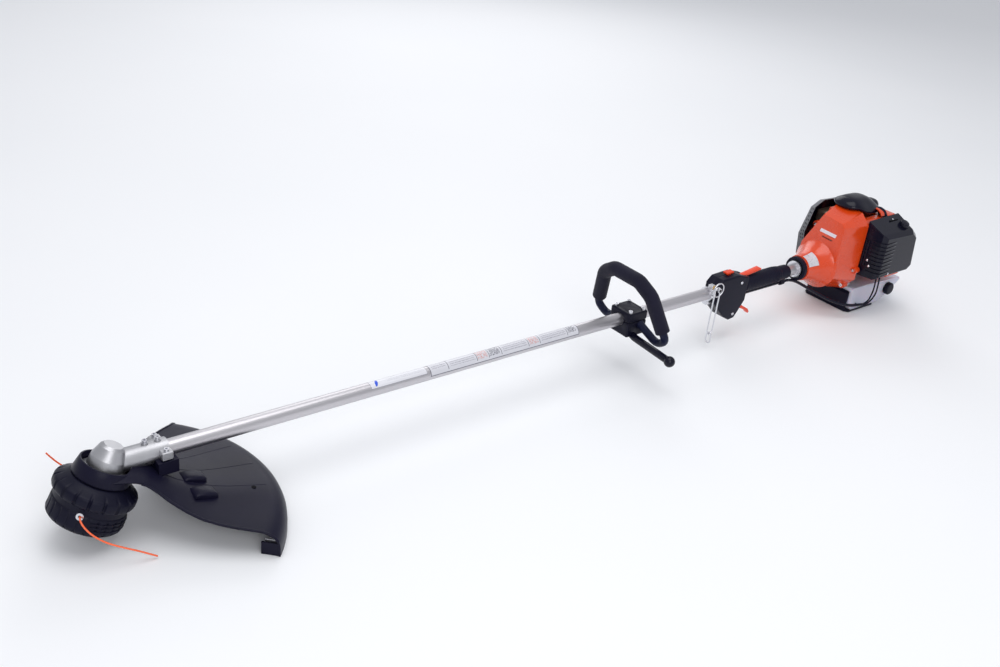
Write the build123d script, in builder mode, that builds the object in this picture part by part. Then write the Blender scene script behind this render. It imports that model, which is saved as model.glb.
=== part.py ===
"""Brush cutter with a straight shaft, a two-line trimmer head and a two-stroke engine.

Millimetres. +X runs along the level shaft from the head to the engine, +Y is the
operator's right and +Z is up. The origin is the centre of the engine stand's rest face.
"""
from build123d import *
import os
from math import sin, cos, tan, atan2, radians

os.makedirs("parts", exist_ok=True)

# ---- driving dimensions: shaft ------------------------------------------------------------
SHAFT_HEIGHT = 118.0       # shaft axis above the floor
PIPE_LENGTH = 1590.0
PIPE_RADIUS = 12.7
PIPE_WALL = 1.5
PIPE_REAR_X = -150.0       # end of the pipe inside the clutch cover
DRIVE_SHAFT_RADIUS = 4.0
BUSH_COUNT = 5
BUSH_LENGTH = 22.0
RUNNING = 0.05             # radial clearance of a running fit
GAP = 0.3                  # clearance between separate moving bodies

# ---- gear case and bevel gears ------------------------------------------------------------
OUTPUT_ANGLE = 65.0        # output axis above the shaft axis
PINION_TEETH = 14
GEAR_TEETH = 28
CONE_OUTER = 24.0          # cone distance at the large end of the teeth
CONE_INNER = 16.5
OUTPUT_SHAFT_RADIUS = 5.0
NECK_RADIUS = 17.5
NECK_LENGTH = 93.0         # from the output axis to the open end of the neck
NECK_DEPTH = 52.0          # how far the pipe enters the neck

# ---- trimmer head -------------------------------------------------------------------------
HEAD_RADIUS = 62.0         # notched crest
DRUM_RADIUS = 55.0
DRUM_BOTTOM = -87.0        # along the output axis from the gear crossing
KNOB_RADIUS = 25.5
KNOB_TRAVEL = 6.0
EYELET_DROP = -61.0
EYELET_ANGLE = 234.0
LINE_RADIUS = 1.35

# ---- shield -------------------------------------------------------------------------------
SHIELD_RADIUS = 262.0
SHIELD_WALL = 3.0
SHIELD_HALF_ANGLE = 44.5

# ---- handle, hanger and throttle, measured from the rear end of the pipe ------------------
HANDLE_X = PIPE_REAR_X - 575.0
HANGER_X = PIPE_REAR_X - 341.0
THROTTLE_X = PIPE_REAR_X - 333.0
GRIP_LENGTH = 152.0
GRIP_RADIUS = 18.5
BAR_RADIUS = 8.0
HANDLE_GRIP_RADIUS = 14.5

# ---- engine -------------------------------------------------------------------------------
CYLINDER_X = -20.0
BORE_RADIUS = 16.0
CRANK_RADIUS = 14.0
ROD_LENGTH = 55.0
CRANK_SHAFT_RADIUS = 6.0
DRUM_OUTER = 34.0          # clutch drum
DRUM_FRONT_X = -133.0
FLYWHEEL_RADIUS = 46.0
TANK_TOP = -58.0           # below the shaft axis

PIPE_FRONT_X = PIPE_REAR_X - PIPE_LENGTH
GEAR_X = PIPE_FRONT_X + NECK_DEPTH - NECK_LENGTH
COS_OUT = cos(radians(OUTPUT_ANGLE))
SIN_OUT = sin(radians(OUTPUT_ANGLE))
SHAFT_AXIS = Axis((0, 0, SHAFT_HEIGHT), (1, 0, 0))
GEAR_ORIGIN = (GEAR_X, 0, SHAFT_HEIGHT)
OUTPUT_AXIS = Axis(GEAR_ORIGIN, (COS_OUT, 0, SIN_OUT))
# sketch x is the distance from the output axis, sketch y runs up along it
HEAD_SIDE = Plane(GEAR_ORIGIN, x_dir=(SIN_OUT, 0, -COS_OUT), z_dir=(0, -1, 0))
# normal along the output axis, sketch x towards the operator, sketch y to the right
HEAD_TOP = Plane(GEAR_ORIGIN, x_dir=(SIN_OUT, 0, -COS_OUT), z_dir=(COS_OUT, 0, SIN_OUT))


def across(x):
    """Plane across the shaft at x: sketch x is +Y, sketch y is +Z, zero on the axis."""
    return Plane((x, 0, SHAFT_HEIGHT), x_dir=(0, 1, 0), z_dir=(1, 0, 0))


def along(y=0.0):
    """Upright plane along the shaft: sketch x is X, sketch y is the height above the axis."""
    return Plane((0, y, SHAFT_HEIGHT), x_dir=(1, 0, 0), z_dir=(0, -1, 0))


def turned(plane, axis, points):
    """Solid of revolution from an outline on a plane that holds the axis."""
    with BuildPart() as solid:
        with BuildSketch(plane):
            with BuildLine():
                Polyline(*points, close=True)
            make_face()
        revolve(axis=axis)
    return solid.part


def on_shaft(points):
    """Solid of revolution about the shaft axis from (x, radius) points."""
    return turned(along(), SHAFT_AXIS, points)


def on_output(points):
    """Solid of revolution about the output axis from (radius, height) points."""
    return turned(HEAD_SIDE, OUTPUT_AXIS, points)


def ring(plane, outer, inner, length):
    """Tube of the given radii that rises from a plane."""
    with BuildPart() as solid:
        with BuildSketch(plane):
            Circle(outer)
            if inner:
                Circle(inner, mode=Mode.SUBTRACT)
        extrude(amount=length)
    return solid.part


def block(centre, size, edge=0.0):
    """Box about a centre given from the shaft axis, with optional rounded edges."""
    with BuildPart() as solid:
        with BuildSketch(Plane.XY.offset(SHAFT_HEIGHT + centre[2] - size[2] / 2)):
            with Locations((centre[0], centre[1])):
                Rectangle(size[0], size[1])
        extrude(amount=size[2])
        if edge:
            fillet(solid.edges(), radius=edge)
    return solid.part


def prism(plane, points, depth, both=False):
    """Extruded polygon."""
    with BuildPart() as solid:
        with BuildSketch(plane):
            with BuildLine():
                Polyline(*points, close=True)
            make_face()
        extrude(amount=depth, both=both)
    return solid.part


def tube_along(points, radii, radius):
    """Round bar along straight runs joined by tangent arcs."""
    with BuildPart() as solid:
        with BuildLine() as path:
            FilletPolyline(*points, radius=radii)
        with BuildSketch(Plane(path.line @ 0, z_dir=path.line % 0)):
            Circle(radius)
        sweep()
    return solid.part


def free_radii(points, name):
    """Largest smooth arc at each corner: 0.45 of the shorter run over tan(half the turn)."""
    radii = []
    for before, here, after in zip(points, points[1:], points[2:]):
        run_in = Vector(*here) - Vector(*before)
        run_out = Vector(*after) - Vector(*here)
        half_turn = radians(run_in.get_angle(run_out)) / 2
        radii.append(0.45 * min(run_in.length, run_out.length) / tan(half_turn))
    print(name, "arc radii", [round(r, 1) for r in radii])
    return radii


def socket_screw(place, length, head_radius=4.0, shank=2.4):
    """Socket cap screw: the plane sits under the head, its normal points out of the head."""
    with BuildPart() as solid:
        with BuildSketch(place):
            Circle(head_radius)
        extrude(amount=4.5)
        with BuildSketch(place.offset(4.5)):
            RegularPolygon(2.2, 6)
        extrude(amount=-2.5, mode=Mode.SUBTRACT)
        with BuildSketch(place):
            Circle(shank)
        extrude(amount=-length)
    return solid.part


# ---- gear case: dome, flange and pipe neck in one casting ---------------------------------
EAR_X = GEAR_X + 84
CLAMP_SCREW_X = [GEAR_X + 60, GEAR_X + 80]
BEARING_TOP = (8.0, 22.0, 27.0)      # outer radius, low end, high end on the output axis
BEARING_LOW = (13.0, -11.0, -4.0)
PINION_BEARING = (11.0, 26.0, 36.0)  # outer radius and span from the crossing along X

dome = on_output([(0, 34), (14, 34), (18.5, 30), (25, 14), (27, -2), (33, -6), (33, -12),
                  (0, -12)])
neck = ring(across(GEAR_X + 6), NECK_RADIUS, 0, NECK_LENGTH - 6)
ears = [block((EAR_X, side * 20, 3), (18, 16, 14), 2.0) for side in (-1, 1)]
screw_pads = [ring(Plane((x, 0, SHAFT_HEIGHT + 10)), 5.0, 0, 10) for x in CLAMP_SCREW_X]
gear_room = on_output([(0, BEARING_TOP[2]), (BEARING_TOP[0], BEARING_TOP[2]),
                       (BEARING_TOP[0], BEARING_TOP[1] - 0.5), (19.8, 20.5), (19.8, 8), (15, 0),
                       (BEARING_LOW[0], BEARING_LOW[2]), (BEARING_LOW[0], -12), (0, -12)])
pinion_room = ring(across(GEAR_X + 6), PINION_BEARING[0], 0, NECK_LENGTH - NECK_DEPTH - 6)
pipe_seat = ring(across(PIPE_FRONT_X), PIPE_RADIUS, 0, NECK_DEPTH + 1)
clamp_slit = block((GEAR_X + NECK_LENGTH - 20, -NECK_RADIUS + 2, -6), (44, 14, 1.6))
screw_holes = [ring(Plane((x, 0, SHAFT_HEIGHT + 13.5)), 2.4, 0, 10) for x in CLAMP_SCREW_X]
ear_holes = [ring(Plane((EAR_X, side * 22.5, SHAFT_HEIGHT - 6)), 2.6, 0, 18) for side in (-1, 1)]
with BuildPart() as gear_case:
    add([dome, neck, *ears, *screw_pads])
    add([gear_room, pinion_room, pipe_seat, clamp_slit, *screw_holes, *ear_holes],
        mode=Mode.SUBTRACT)
gear_case.part.label = "gear_case"
export_step(gear_case.part, "parts/gear_case.step")

# ---- ball bearings: fixed rings of the gear case and the crankcase ------------------------
DRUM_BEARING_X = -148.0
CRANK_BEARINGS = [-62.0, 8.0]
BEARING_WIDTH = 8.0
with BuildPart() as ball_bearings:
    add(ring(HEAD_TOP.offset(BEARING_TOP[1]), BEARING_TOP[0], OUTPUT_SHAFT_RADIUS + RUNNING, 5))
    add(ring(HEAD_TOP.offset(BEARING_LOW[1]), BEARING_LOW[0], OUTPUT_SHAFT_RADIUS + RUNNING, 7))
    add(ring(across(GEAR_X + PINION_BEARING[1]), PINION_BEARING[0], 5 + RUNNING, 10))
    add(ring(across(DRUM_BEARING_X), 14, CRANK_SHAFT_RADIUS + RUNNING, BEARING_WIDTH))
    for x in CRANK_BEARINGS:
        add(ring(across(x), 14, CRANK_SHAFT_RADIUS + RUNNING, BEARING_WIDTH))
ball_bearings.part.label = "ball_bearings"
export_step(ball_bearings.part, "parts/ball_bearings.step")


# ---- bevel pair: both pitch cones meet where the two axes cross ---------------------------
def bevel_gear(axis_plane, teeth, pitch_angle, bore, phase):
    """Straight bevel gear about a plane's normal, with its apex at the plane's origin."""
    low = CONE_INNER * cos(pitch_angle)
    high = CONE_OUTER * cos(pitch_angle)
    pitch_radius = CONE_OUTER * sin(pitch_angle)
    module = 2 * pitch_radius / teeth
    tip = pitch_radius + 0.75 * module / cos(pitch_angle)
    root = pitch_radius - 1.25 * module / cos(pitch_angle)
    shrink = low / high
    with BuildPart() as gear:
        with BuildSketch(axis_plane.offset(low)):
            Circle(root * shrink)
        with BuildSketch(axis_plane.offset(high)):
            Circle(root)
        loft()
        for end in (1.0, shrink):
            with BuildSketch(axis_plane.offset(high * end).rotated((0, 0, phase))):
                with BuildLine():
                    Polyline(((root - 0.5) * end, -0.80 * module * end),
                             (tip * end, -0.28 * module * end),
                             (tip * end, 0.28 * module * end),
                             ((root - 0.5) * end, 0.80 * module * end), close=True)
                make_face()
        tooth = loft(mode=Mode.PRIVATE)
        for index in range(teeth):
            add(tooth.rotate(Axis(axis_plane.origin, axis_plane.z_dir), index * 360 / teeth))
        with BuildSketch(axis_plane.offset(low - 1)):
            Circle(bore)
        extrude(amount=high - low + 2, mode=Mode.SUBTRACT)
    return gear.part


SHAFT_ANGLE = radians(OUTPUT_ANGLE)
PINION_PITCH = atan2(sin(SHAFT_ANGLE), GEAR_TEETH / PINION_TEETH + cos(SHAFT_ANGLE))
GEAR_PITCH = SHAFT_ANGLE - PINION_PITCH
# the pinion's tooth points at the pitch line, and the driven gear's gap meets it there
PINION_PLANE = Plane(GEAR_ORIGIN, x_dir=(0, 0, 1), z_dir=(1, 0, 0))
GEAR_PLANE = Plane(GEAR_ORIGIN, x_dir=(SIN_OUT, 0, -COS_OUT), z_dir=(COS_OUT, 0, SIN_OUT))
pinion_teeth = bevel_gear(PINION_PLANE, PINION_TEETH, PINION_PITCH, DRIVE_SHAFT_RADIUS, 0)
with BuildPart() as pinion:
    add(pinion_teeth)
    with BuildSketch(across(GEAR_X + CONE_OUTER * cos(PINION_PITCH))):
        Circle(5)
        Circle(DRIVE_SHAFT_RADIUS, mode=Mode.SUBTRACT)
    extrude(amount=16)
pinion.part.label = "pinion"
export_step(pinion.part, "parts/pinion.step")

gear_teeth = bevel_gear(GEAR_PLANE, GEAR_TEETH, GEAR_PITCH, OUTPUT_SHAFT_RADIUS, 180 / GEAR_TEETH)
with BuildPart() as driven_gear:
    add(gear_teeth)
    with BuildSketch(HEAD_TOP.offset(CONE_OUTER * cos(GEAR_PITCH))):
        Circle(9)
        Circle(OUTPUT_SHAFT_RADIUS, mode=Mode.SUBTRACT)
    extrude(amount=3)
driven_gear.part.label = "driven_gear"
export_step(driven_gear.part, "parts/driven_gear.step")

# ---- output shaft with the plate that carries the head ------------------------------------
holder_plate = on_output([(12, -20.3), (12, -16.5), (29, -13.5), (31, -13.5), (31, -16),
                          (14, -20.3)])
with BuildPart() as output_shaft:
    add(holder_plate)
    with BuildSketch(HEAD_TOP.offset(26.5)):
        Circle(OUTPUT_SHAFT_RADIUS)
    extrude(amount=-62)
    with BuildSketch(HEAD_TOP.offset(-12 - GAP)):
        Circle(12)
    extrude(amount=-8)
    with BuildSketch(HEAD_TOP.offset(26.5)):
        Circle(1.5)
    extrude(amount=-3, mode=Mode.SUBTRACT)
output_shaft.part.label = "output_shaft"
export_step(output_shaft.part, "parts/output_shaft.step")

# ---- head housing: notched crest above a ribbed drum --------------------------------------
HEAD_TOP_Z = -20.3
NOTCH_COUNT = 18
NOTCH_CUT = 10.0
NOTCH_FLOOR = HEAD_RADIUS - 3.7     # distance of a notch's floor from the output axis
FLUTE_COUNT = 24
head_body = on_output([(OUTPUT_SHAFT_RADIUS, HEAD_TOP_Z), (42, HEAD_TOP_Z), (48, -24),
                       (HEAD_RADIUS - 4, -30), (HEAD_RADIUS, -34), (HEAD_RADIUS, -44),
                       (HEAD_RADIUS - 3, -48), (DRUM_RADIUS, -51),
                       (DRUM_RADIUS + 2, DRUM_BOTTOM + 4), (DRUM_RADIUS, DRUM_BOTTOM),
                       (DRUM_RADIUS - 4, DRUM_BOTTOM), (DRUM_RADIUS - 4, -28), (OUTPUT_SHAFT_RADIUS, -28)])
EYELET_PLANES = [Plane(HEAD_TOP.offset(EYELET_DROP).origin,
                       x_dir=(COS_OUT, 0, SIN_OUT),
                       z_dir=HEAD_TOP.from_local_coords(
                           Vector(cos(radians(a)), sin(radians(a)), 0)) - HEAD_TOP.origin)
                 for a in (EYELET_ANGLE, EYELET_ANGLE - 180)]
eyelet_bores = [ring(plane.offset(40), 5.5, 0, 30) for plane in EYELET_PLANES]
with BuildPart() as head_housing:
    add(head_body)
    with BuildSketch(HEAD_TOP.offset(-26)):
        with PolarLocations(NOTCH_FLOOR + NOTCH_CUT / 2, NOTCH_COUNT):
            Rectangle(NOTCH_CUT, 7)
    extrude(amount=-24, mode=Mode.SUBTRACT)
    with BuildSketch(HEAD_TOP.offset(-54)):
        with PolarLocations(DRUM_RADIUS + 2.2, FLUTE_COUNT):
            Rectangle(2.6, 6)
    extrude(amount=-26, mode=Mode.SUBTRACT)
    add(eyelet_bores, mode=Mode.SUBTRACT)
head_housing.part.label = "head_housing"
export_step(head_housing.part, "parts/head_housing.step")

EYELET_OUT = DRUM_RADIUS + 3.5
with BuildPart() as line_eyelets:
    for plane in EYELET_PLANES:
        with BuildSketch(plane.offset(DRUM_RADIUS - 5)):
            Circle(5.5)
            Circle(2.2, mode=Mode.SUBTRACT)
        extrude(amount=EYELET_OUT - DRUM_RADIUS + 5)
line_eyelets.part.label = "line_eyelets"
export_step(line_eyelets.part, "parts/line_eyelets.step")

# ---- lower cover, spool, knob and spring --------------------------------------------------
base_shape = on_output([(KNOB_RADIUS + 1, DRUM_BOTTOM - 3), (DRUM_RADIUS - 3, DRUM_BOTTOM - 3),
                        (DRUM_RADIUS, DRUM_BOTTOM), (DRUM_RADIUS - 4, DRUM_BOTTOM),
                        (DRUM_RADIUS - 4, DRUM_BOTTOM + 5), (DRUM_RADIUS - 6.5, DRUM_BOTTOM + 5),
                        (DRUM_RADIUS - 6.5, DRUM_BOTTOM), (KNOB_RADIUS + 1, DRUM_BOTTOM)])
with BuildPart() as head_base:
    add(base_shape)
head_base.part.label = "head_base"
export_step(head_base.part, "parts/head_base.step")

SPOOL_BOTTOM = -77.0
spool_shape = on_output([(13, -30), (45, -30), (45, -32), (17, -32), (17, SPOOL_BOTTOM + 2),
                         (45, SPOOL_BOTTOM + 2), (45, SPOOL_BOTTOM), (13, SPOOL_BOTTOM)])
with BuildPart() as spool:
    add(spool_shape)
spool.part.label = "spool"
export_step(spool.part, "parts/spool.step")

KNOB_SHOULDER = SPOOL_BOTTOM - KNOB_TRAVEL - 0.6
knob_shape = on_output([(0, -106), (14, -105), (22, -100), (KNOB_RADIUS, -94),
                        (KNOB_RADIUS, KNOB_SHOULDER - 2.5), (20, KNOB_SHOULDER), (11, KNOB_SHOULDER),
                        (11, -66), (0, -66)])
with BuildPart() as bump_knob:
    add(knob_shape)
bump_knob.part.label = "bump_knob"
export_step(bump_knob.part, "parts/bump_knob.step")

SPRING_RADIUS = 10.0
with BuildPart() as head_spring:
    with BuildLine() as coil:
        Helix(pitch=5.6, height=26, radius=SPRING_RADIUS, center=HEAD_TOP.offset(-64.8).origin,
              direction=HEAD_TOP.z_dir)
    with BuildSketch(Plane(coil.line @ 0, z_dir=coil.line % 0)):
        Circle(0.9)
    sweep()
head_spring.part.label = "head_spring"
export_step(head_spring.part, "parts/head_spring.step")


# ---- trimmer lines that stick out of the eyelets ------------------------------------------
def from_gear(points):
    """Points given from the gear crossing, moved into the frame."""
    return [(GEAR_X + x, y, SHAFT_HEIGHT + z) for x, y, z in points]


NEAR_LINE = from_gear([(-53.5, -42.1, -42.4), (-61, -53.4, -38.9), (-54, -66, -56), (-36, -76, -74),
                       (-12, -84, -88), (10, -90, -99), (34, -96, -114)])
FAR_LINE = from_gear([(1.9, 42.1, -68.2), (9.4, 53.4, -71.7), (14, 72, -76), (6, 94, -78),
                      (-14, 112, -72), (-32, 122, -58), (-45, 125, -38)])
near_tube = tube_along(NEAR_LINE, free_radii(NEAR_LINE, "near line"), LINE_RADIUS)
with BuildPart() as trimmer_line_near:
    add(near_tube)
trimmer_line_near.part.label = "trimmer_line_near"
export_step(trimmer_line_near.part, "parts/trimmer_line_near.step")

far_tube = tube_along(FAR_LINE, free_radii(FAR_LINE, "far line"), LINE_RADIUS)
with BuildPart() as trimmer_line_far:
    add(far_tube)
trimmer_line_far.part.label = "trimmer_line_far"
export_step(trimmer_line_far.part, "parts/trimmer_line_far.step")

# ---- drive pipe, the shaft inside it and its bushes ---------------------------------------
with BuildPart() as drive_pipe:
    with BuildSketch(across(PIPE_FRONT_X)):
        Circle(PIPE_RADIUS)
        Circle(PIPE_RADIUS - PIPE_WALL, mode=Mode.SUBTRACT)
    extrude(amount=PIPE_LENGTH)
drive_pipe.part.label = "drive_pipe"
export_step(drive_pipe.part, "parts/drive_pipe.step")

DRUM_BACK_X = DRUM_FRONT_X + 25
with BuildPart() as drive_shaft:
    with BuildSketch(across(GEAR_X + CONE_INNER * cos(PINION_PITCH))):
        Circle(DRIVE_SHAFT_RADIUS)
    extrude(amount=DRUM_FRONT_X + 3 - GEAR_X - CONE_INNER * cos(PINION_PITCH))
drive_shaft.part.label = "drive_shaft"
export_step(drive_shaft.part, "parts/drive_shaft.step")

BUSH_PITCH = PIPE_LENGTH / BUSH_COUNT
with BuildPart() as shaft_bushes:
    for index in range(BUSH_COUNT):
        with BuildSketch(across(PIPE_FRONT_X + BUSH_PITCH * (index + 0.5))):
            Circle(PIPE_RADIUS - PIPE_WALL)
            Circle(DRIVE_SHAFT_RADIUS + RUNNING, mode=Mode.SUBTRACT)
        extrude(amount=BUSH_LENGTH)
shaft_bushes.part.label = "shaft_bushes"
export_step(shaft_bushes.part, "parts/shaft_bushes.step")

# ---- shield: a bell-shaped sector with a rounded shoulder and an upright skirt ------------
CROWN = [(36, -4), (60, -14), (100, -40), (150, -60), (200, -70)]
SHOULDER_Z = -76.0
SKIRT_Z = -SHAFT_HEIGHT
with BuildPart() as bell:
    with BuildSketch(Plane((GEAR_X, 0, SHAFT_HEIGHT), x_dir=(1, 0, 0), z_dir=(0, -1, 0))):
        with BuildLine():
            Spline(*CROWN, (SHIELD_RADIUS - 27, SHOULDER_Z))
            Spline((SHIELD_RADIUS - 27, SHOULDER_Z), (SHIELD_RADIUS - 8, SHOULDER_Z - 8),
                   (SHIELD_RADIUS, SHOULDER_Z - 22), tangents=[(1, -0.12), (0, -1)])
            Polyline((SHIELD_RADIUS, SHOULDER_Z - 22), (SHIELD_RADIUS, SKIRT_Z),
                     (SHIELD_RADIUS - SHIELD_WALL, SKIRT_Z),
                     (SHIELD_RADIUS - SHIELD_WALL, SHOULDER_Z - 22))
            Spline((SHIELD_RADIUS - SHIELD_WALL, SHOULDER_Z - 22),
                   (SHIELD_RADIUS - 10, SHOULDER_Z - 10.5), (SHIELD_RADIUS - 27, SHOULDER_Z - SHIELD_WALL),
                   tangents=[(0, 1), (-1, 0.12)])
            Spline((SHIELD_RADIUS - 27, SHOULDER_Z - SHIELD_WALL),
                   *[(r, z - SHIELD_WALL) for r, z in reversed(CROWN)])
            Line((CROWN[0][0], CROWN[0][1] - SHIELD_WALL), CROWN[0])
        make_face()
    revolve(axis=Axis(GEAR_ORIGIN, (0, 0, 1)))
    corner = Vector(SHIELD_RADIUS + 40, 0).rotate(Axis.Z, SHIELD_HALF_ANGLE)
    flare = corner * 0.78      # where the curved side edge turns into a radius
    with BuildSketch(Plane((GEAR_X, 0, -10))):
        with BuildLine():
            Spline((-6, -44), (12, -44), (42, -52), (68, -80), (100, -118), (flare.X, -flare.Y))
            Polyline((flare.X, -flare.Y), (corner.X, -corner.Y), (corner.X + 160, 0),
                     (corner.X, corner.Y), (flare.X, flare.Y))
            Spline((flare.X, flare.Y), (100, 118), (68, 80), (42, 52), (12, 44), (-6, 44))
            Line((-6, 44), (-6, -44))
        make_face()
    extrude(amount=SHAFT_HEIGHT + 20, mode=Mode.INTERSECT)


def sector_plate(angle, near, far, low, high, thickness):
    """Upright plate on a radius of the shield, between two radii and two heights."""
    direction = Vector(1, 0).rotate(Axis.Z, angle)
    plane = Plane(GEAR_ORIGIN, x_dir=direction, z_dir=direction.rotate(Axis.Z, -90))
    return prism(plane, [(near, low), (far, low), (far, high), (near, high)], -thickness)


WALL_IN = SHIELD_RADIUS - 28
WALL_OUT = SHIELD_RADIUS - 1
end_wall = sector_plate(-SHIELD_HALF_ANGLE + 0.4, WALL_IN, WALL_OUT, SKIRT_Z + 2, SHOULDER_Z - 12, 3)
pedestal = block((EAR_X, 0, -16), (30, 62, 24), 3.0)
collar = on_output([(35.5, -15), (39, -15), (39, 3), (35.5, 3)])
throat = on_output([(0, 12), (35.5, 12), (35.5, -22), (42, -26), (42, -60), (0, -60)])
neck_room = ring(across(GEAR_X), NECK_RADIUS + 0.4, 0, NECK_LENGTH + 20)
ear_room = block((EAR_X, 0, 12), (22, 70, 32))
scoops = [block((GEAR_X + 124, y, -51 - abs(y) * 0.06), (34, 24, 16), 4.0) for y in (-62, -22)]
scoop_rooms = [block((GEAR_X + 122, y, -54 - abs(y) * 0.06), (38, 18, 14)) for y in (-62, -22)]
cord_hole = ring(Plane((GEAR_X + 206, -60, 0)), 4, 0, SHAFT_HEIGHT)
bolt_bores = [ring(Plane((EAR_X, side * 22.5, SHAFT_HEIGHT - 22)), 2.4, 0, 22) for side in (-1, 1)]
with BuildPart() as shield:
    add(bell.part)
    add([end_wall, pedestal, *scoops])
    add([throat, neck_room, ear_room, *scoop_rooms, cord_hole], mode=Mode.SUBTRACT)
    add(collar)
    add([neck_room, *bolt_bores], mode=Mode.SUBTRACT)
shield.part.label = "shield"
export_step(shield.part, "parts/shield.step")

# ---- line knife inside the near end of the skirt ------------------------------------------
blade = sector_plate(-SHIELD_HALF_ANGLE + 1.2, WALL_IN + 3, WALL_OUT - 6, SKIRT_Z + 4, SHOULDER_Z - 16, 1.6)
with BuildPart() as line_knife:
    add(blade)
line_knife.part.label = "line_knife"
export_step(line_knife.part, "parts/line_knife.step")

# ---- loop handle: bar, foam grip, clamp halves and barrier bar ----------------------------
HANDLE_LEAN = 17.0
HANDLE_PLANE = Plane((HANDLE_X + 6, 0, SHAFT_HEIGHT), x_dir=(0, 1, 0),
                     z_dir=(cos(radians(HANDLE_LEAN)), 0, sin(radians(HANDLE_LEAN))))
LOOP = [(-24, -6), (-72, -34), (-98, -14), (-66, 78), (-34, 100), (34, 100), (66, 78), (98, -14),
        (72, -34), (24, -6)]
LOOP_RADII = [22, 16, 30, 22, 22, 30, 16, 22]
with BuildPart() as handle_bar:
    with BuildLine(HANDLE_PLANE) as loop:
        FilletPolyline(*LOOP, radius=LOOP_RADII)
    with BuildSketch(Plane(loop.line @ 0, z_dir=loop.line % 0)):
        Circle(BAR_RADIUS)
    sweep()
handle_bar.part.label = "handle_bar"
export_step(handle_bar.part, "parts/handle_bar.step")

GRIP_START = 0.22          # share of the straight side left bare below the foam
start_y = LOOP[2][0] + GRIP_START * (LOOP[3][0] - LOOP[2][0])
start_z = LOOP[2][1] + GRIP_START * (LOOP[3][1] - LOOP[2][1])
GRIP_LOOP = [(start_y, start_z), *LOOP[3:7], (-start_y, start_z)]
with BuildPart() as handle_grip:
    with BuildLine(HANDLE_PLANE) as grip_line:
        FilletPolyline(*GRIP_LOOP, radius=LOOP_RADII[2:6])
    with BuildSketch(Plane(grip_line.line @ 0, z_dir=grip_line.line % 0)):
        Circle(HANDLE_GRIP_RADIUS)
        Circle(BAR_RADIUS, mode=Mode.SUBTRACT)
    sweep()
handle_grip.part.label = "handle_grip"
export_step(handle_grip.part, "parts/handle_grip.step")

CLAMP_LENGTH = 50.0
CLAMP_HALF_WIDTH = 27.0
pipe_hole = ring(across(HANDLE_X - 40), PIPE_RADIUS, 0, 80)
clamp_bolts = [(HANDLE_X + dx, dy) for dx in (-17, 17) for dy in (-20, 20)]
clamp_holes = [ring(Plane((x, y, SHAFT_HEIGHT - 21)), 2.4, 0, 42) for x, y in clamp_bolts]
with BuildPart() as clamp_top_block:
    add(block((HANDLE_X, 0, 9.9), (CLAMP_LENGTH, 2 * CLAMP_HALF_WIDTH, 19.2), 3.0))
    add([pipe_hole, *clamp_holes], mode=Mode.SUBTRACT)
with BuildPart() as handle_clamp:
    add(clamp_top_block.part)
    add(handle_bar.part, mode=Mode.SUBTRACT)
handle_clamp.part.label = "handle_clamp"
export_step(handle_clamp.part, "parts/handle_clamp.step")

BARRIER = [(HANDLE_X - 4, 0, SHAFT_HEIGHT - 24), (HANDLE_X - 8, -34, SHAFT_HEIGHT - 31),
           (HANDLE_X - 16, -138, SHAFT_HEIGHT - 31)]
barrier_tube = tube_along(BARRIER, [20], 7.5)
with BuildPart() as handle_clamp_base:
    add(block((HANDLE_X, 0, -15.7), (CLAMP_LENGTH, 2 * CLAMP_HALF_WIDTH, 30.8), 3.0))
    add([pipe_hole, handle_bar.part, barrier_tube, *clamp_holes], mode=Mode.SUBTRACT)
handle_clamp_base.part.label = "handle_clamp_base"
export_step(handle_clamp_base.part, "parts/handle_clamp_base.step")

with BuildPart() as barrier_bar:
    add(barrier_tube)
    with Locations(BARRIER[-1]):
        Sphere(11)
barrier_bar.part.label = "barrier_bar"
export_step(barrier_bar.part, "parts/barrier_bar.step")

# ---- harness hanger: clamp band, pin, hook ring, long link and eye ------------------------
PIN_X = HANGER_X - 4
PIN_Z = 21.0
PIN_RADIUS = 2.5
LINK_WIRE = 1.5
LINK_Y = -27.0
RING_Y = -21.0
lug = block((PIN_X, -10, PIN_Z - 2), (11, 12, 13), 1.5)
band = ring(across(HANGER_X - 7), PIPE_RADIUS + 3, 0, 14)
band_bore = ring(across(HANGER_X - 8), PIPE_RADIUS, 0, 16)
foot = block((HANGER_X, 0, -19), (14, 12, 10), 1.5)
pin_shank = ring(Plane((PIN_X, -3, SHAFT_HEIGHT + PIN_Z), z_dir=(0, -1, 0)), PIN_RADIUS, 0, 28)
pin_head = ring(Plane((PIN_X, -31, SHAFT_HEIGHT + PIN_Z), z_dir=(0, -1, 0)), 5, 0, 3)


def wire_loop(plane, half_width, height, wire):
    """Closed wire link: two straight legs and round ends, hanging from its plane's origin."""
    with BuildPart() as solid:
        with BuildLine(plane) as path:
            Line((half_width, -half_width), (half_width, -height + half_width))
            RadiusArc((half_width, -height + half_width), (-half_width, -height + half_width),
                      half_width)
            Line((-half_width, -height + half_width), (-half_width, -half_width))
            RadiusArc((-half_width, -half_width), (half_width, -half_width), half_width)
        with BuildSketch(Plane(path.line @ 0, z_dir=path.line % 0)):
            Circle(wire)
        sweep()
    return solid.part


LINK_TOP = PIN_Z + PIN_RADIUS + LINK_WIRE + GAP
LINK_LENGTH = 108.0
link_plane = Plane((PIN_X, LINK_Y, SHAFT_HEIGHT + LINK_TOP), x_dir=(1, 0, 0), z_dir=(0, -1, 0))
with BuildPart() as hanger_link:
    add(wire_loop(link_plane, 8.0, LINK_LENGTH, LINK_WIRE))
hanger_link.part.label = "hanger_link"
export_step(hanger_link.part, "parts/hanger_link.step")

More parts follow.
